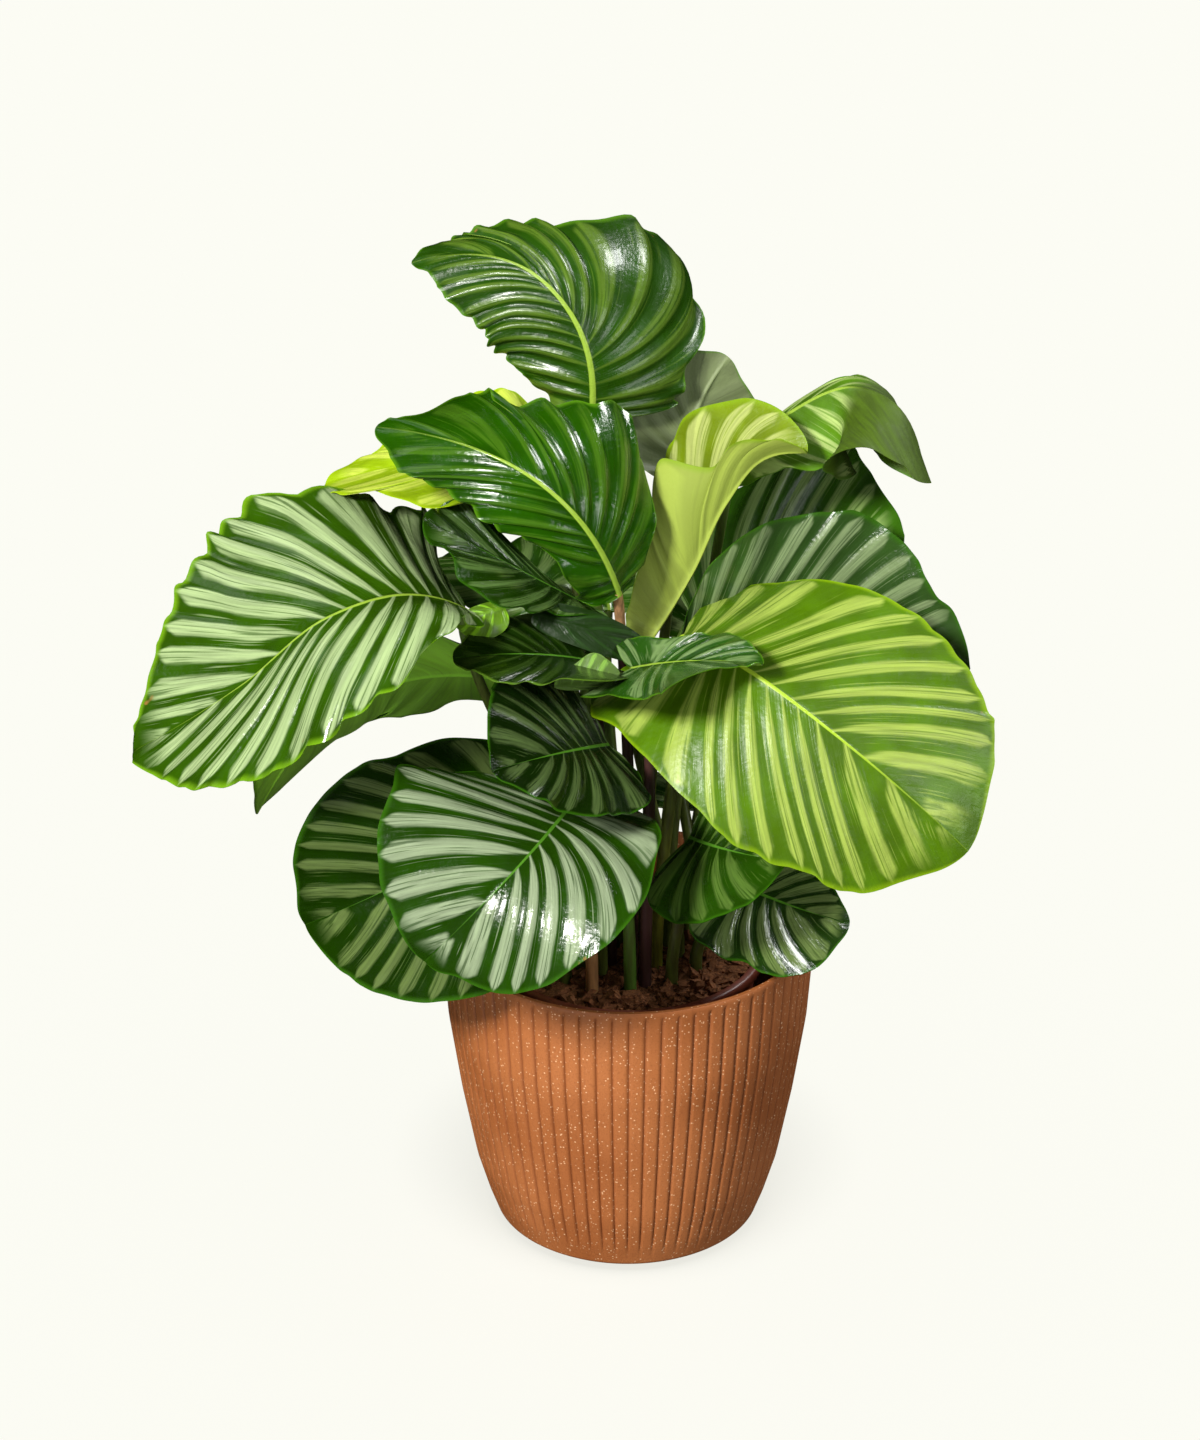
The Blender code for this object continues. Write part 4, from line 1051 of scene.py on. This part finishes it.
def build_soil():
    """The soil: an uneven surface over a plug that fills the nursery pot."""
    foot = LINER_FOOT - LINER_WALL - SOIL_CLEAR
    base = LINER_BASE + 2 * LINER_WALL + 0.3 * MM
    rings = [SOIL_RADIUS * share for share in np.linspace(1, 0.02, SOIL_RINGS)]
    profile = [(0, base), (foot, base)] + [(radius, 0) for radius in rings] + [(0, 0)]
    vertices, faces = turned(profile, SOIL_SIDES)
    surface = 1 + SOIL_SIDES
    vertices[surface:] = [(x, y, soil_height(x, y)) for x, y, _ in vertices[surface:]]
    material = soil_material("potting_soil", SOIL_DARK, SOIL_LIGHT)
    piece = new_piece("potting_soil", vertices, faces, [material])
    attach(piece, "root")
    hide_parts("soil")


def soil_material(name, dark, light):
    """Rough crumbly brown; chips are paler by their own shades."""
    n = Nodes(name)
    crumbs = n.noise(n.places(), 620.0, 5.0, 0.65)
    colour = n.mix(n.ramp(crumbs, 0.35, 0.68), linear(dark), linear(light))
    colour = n.mix(n.math("MULTIPLY", n.attribute("shade"), 0.8), colour, linear(CHIP_PALE))
    n.bump(crumbs, 0.8, 1 * MM)
    return n.finish(colour, 0.9, specular=0.2)


def clear_of_stalks(x, y, gap):
    """True if the place is further than the gap from every stalk's middle."""
    return all(np.hypot(x - leaf["root"][0] * CM, y - leaf["root"][1] * CM) > gap for leaf in LEAVES.values())


def build_chips(draw):
    """Bark chips and crumbs lying on the soil."""
    vertices = []
    faces = []
    shades = []
    corners = np.array([(-1, -1, -1), (1, -1, -1), (1, 1, -1), (-1, 1, -1),
                        (-1, -1, 1), (1, -1, 1), (1, 1, 1), (-1, 1, 1)], float)
    sides = [(0, 3, 2, 1), (4, 5, 6, 7), (0, 1, 5, 4), (1, 2, 6, 5), (2, 3, 7, 6), (3, 0, 4, 7)]
    for _ in range(CHIP_TRIES):
        radius = (SOIL_RADIUS - CHIP_INSET) * np.sqrt(draw.random())
        turn = 2 * pi * draw.random()
        x, y = radius * cos(turn), radius * sin(turn)
        size = CHIP_LEAST + CHIP_SPREAD * draw.random() ** 2.5
        length = size * (1.0 + 2.2 * draw.random())
        if not clear_of_stalks(x, y, CHIP_STALK_GAP + length * 0.5):
            continue
        block = corners * (length, size, size * CHIP_FLATNESS) * (0.75 + 0.5 * draw.random((8, 3)))
        heading, tilt, lean = 2 * pi * draw.random(), draw.normal(0, 0.45), draw.normal(0, 0.35)
        spin = np.array(Euler((lean, tilt, heading)).to_matrix())
        centre = np.array([x, y, soil_height(x, y) + size * 0.45])
        base = len(vertices)
        vertices += list(block @ spin.T + centre)
        faces += [tuple(base + corner for corner in side) for side in sides]
        shades += [draw.random() ** 2] * len(corners)
    piece = new_piece("bark_chips", vertices, faces, [soil_material("bark_chips", CHIP_DARK, CHIP_LIGHT)])
    mark(piece, "shade", shades)
    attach(piece, "root")


def new_lamp(name, kind, power, source):
    """A lamp whose light comes from the way of the source."""
    light = bpy.data.lights.new(name, kind)
    light.energy = power
    lamp = bpy.data.objects.new(name, light)
    lamp.rotation_euler = Vector(source).to_track_quat("Z", "Y").to_euler()
    bpy.context.scene.collection.objects.link(lamp)
    return lamp


def area_lamp(name, place, target, size, power, colour=(1, 1, 1)):
    """A soft square lamp that faces its target."""
    lamp = new_lamp(name, "AREA", power, Vector(place) - Vector(target))
    lamp.location = place
    lamp.data.size = size
    lamp.data.color = colour
    return lamp


def build_floor():
    """A plain pale floor that glows a little, so that it stays even from edge to edge."""
    mesh = bpy.data.meshes.new("floor")
    reach = FLOOR_REACH
    mesh.from_pydata([(-reach, -reach, 0), (reach, -reach, 0), (reach, reach, 0), (-reach, reach, 0)], [],
                     [(0, 1, 2, 3)])
    floor = bpy.data.objects.new("floor", mesh)
    bpy.context.scene.collection.objects.link(floor)
    n = Nodes("floor")
    n.feed(n.shader, {"Emission Color": FLOOR_GLOW, "Emission Strength": 1.0})
    mesh.materials.append(n.finish(FLOOR_COLOUR, 0.9, specular=0.0))
    floor.visible_diffuse = False
    floor.visible_glossy = False
    return floor


def build_world():
    """Even light from all round, which glossy leaves don't mirror."""
    world = bpy.data.worlds.new("studio")
    world.use_nodes = True
    world.node_tree.nodes["Background"].inputs["Color"].default_value = WORLD_COLOUR
    world.node_tree.nodes["Background"].inputs["Strength"].default_value = WORLD_STRENGTH
    bpy.context.scene.world = world
    world.cycles_visibility.glossy = False


def build_lamps(floor):
    """Soft lamps that light the plant alone, and a wide one that shades the floor round the pot."""
    lamps = {name: area_lamp(name, *facts) for name, facts in LAMPS.items()}
    lamps["bounce"].visible_glossy = False
    overhead = new_lamp("overhead", "SUN", OVERHEAD_STRENGTH, OVERHEAD_SOURCE)
    overhead.data.angle = radians(OVERHEAD_SPREAD)
    plant_only = bpy.data.collections.new("all_but_the_floor")
    plant_only.objects.link(floor)
    plant_only.collection_objects[0].light_linking.link_state = "EXCLUDE"
    for lamp in lamps.values():
        lamp.light_linking.receiver_collection = plant_only
    floor_only = bpy.data.collections.new("the_floor")
    floor_only.objects.link(floor)
    overhead.light_linking.receiver_collection = floor_only
    pot_only = bpy.data.collections.new("the_pot")
    pot_only.objects.link(bpy.data.objects["planter"])
    overhead.light_linking.blocker_collection = pot_only


def build_camera():
    """The camera, at the photograph's angle."""
    camera = bpy.data.objects.new("camera", bpy.data.cameras.new("camera"))
    aim = Vector(CAMERA_AIM)
    elevation = radians(CAMERA_ELEVATION)
    camera.data.lens = CAMERA_LENS
    camera.location = aim + CAMERA_DISTANCE * Vector((0, -cos(elevation), sin(elevation)))
    camera.rotation_euler = (aim - camera.location).to_track_quat("-Z", "Y").to_euler()
    bpy.context.scene.collection.objects.link(camera)
    bpy.context.scene.camera = camera


bpy.context.scene.view_settings.view_transform = "Standard"
for thing in list(bpy.data.objects):
    bpy.data.objects.remove(thing, do_unlink=True)
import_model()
cad_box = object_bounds()
INNER_BOX = np.array(cad_box) + [[BOX_INSET], [-BOX_INSET]]
build_outer_pot()
build_liner()
build_soil()
build_chips(np.random.default_rng(CHIP_SEED))
for leaf_name in LEAVES:
    build_blade(leaf_name)
    build_stalk(leaf_name)
for lobe_name in LOBES:
    build_lobe(lobe_name)
build_world()
build_lamps(build_floor())
build_camera()
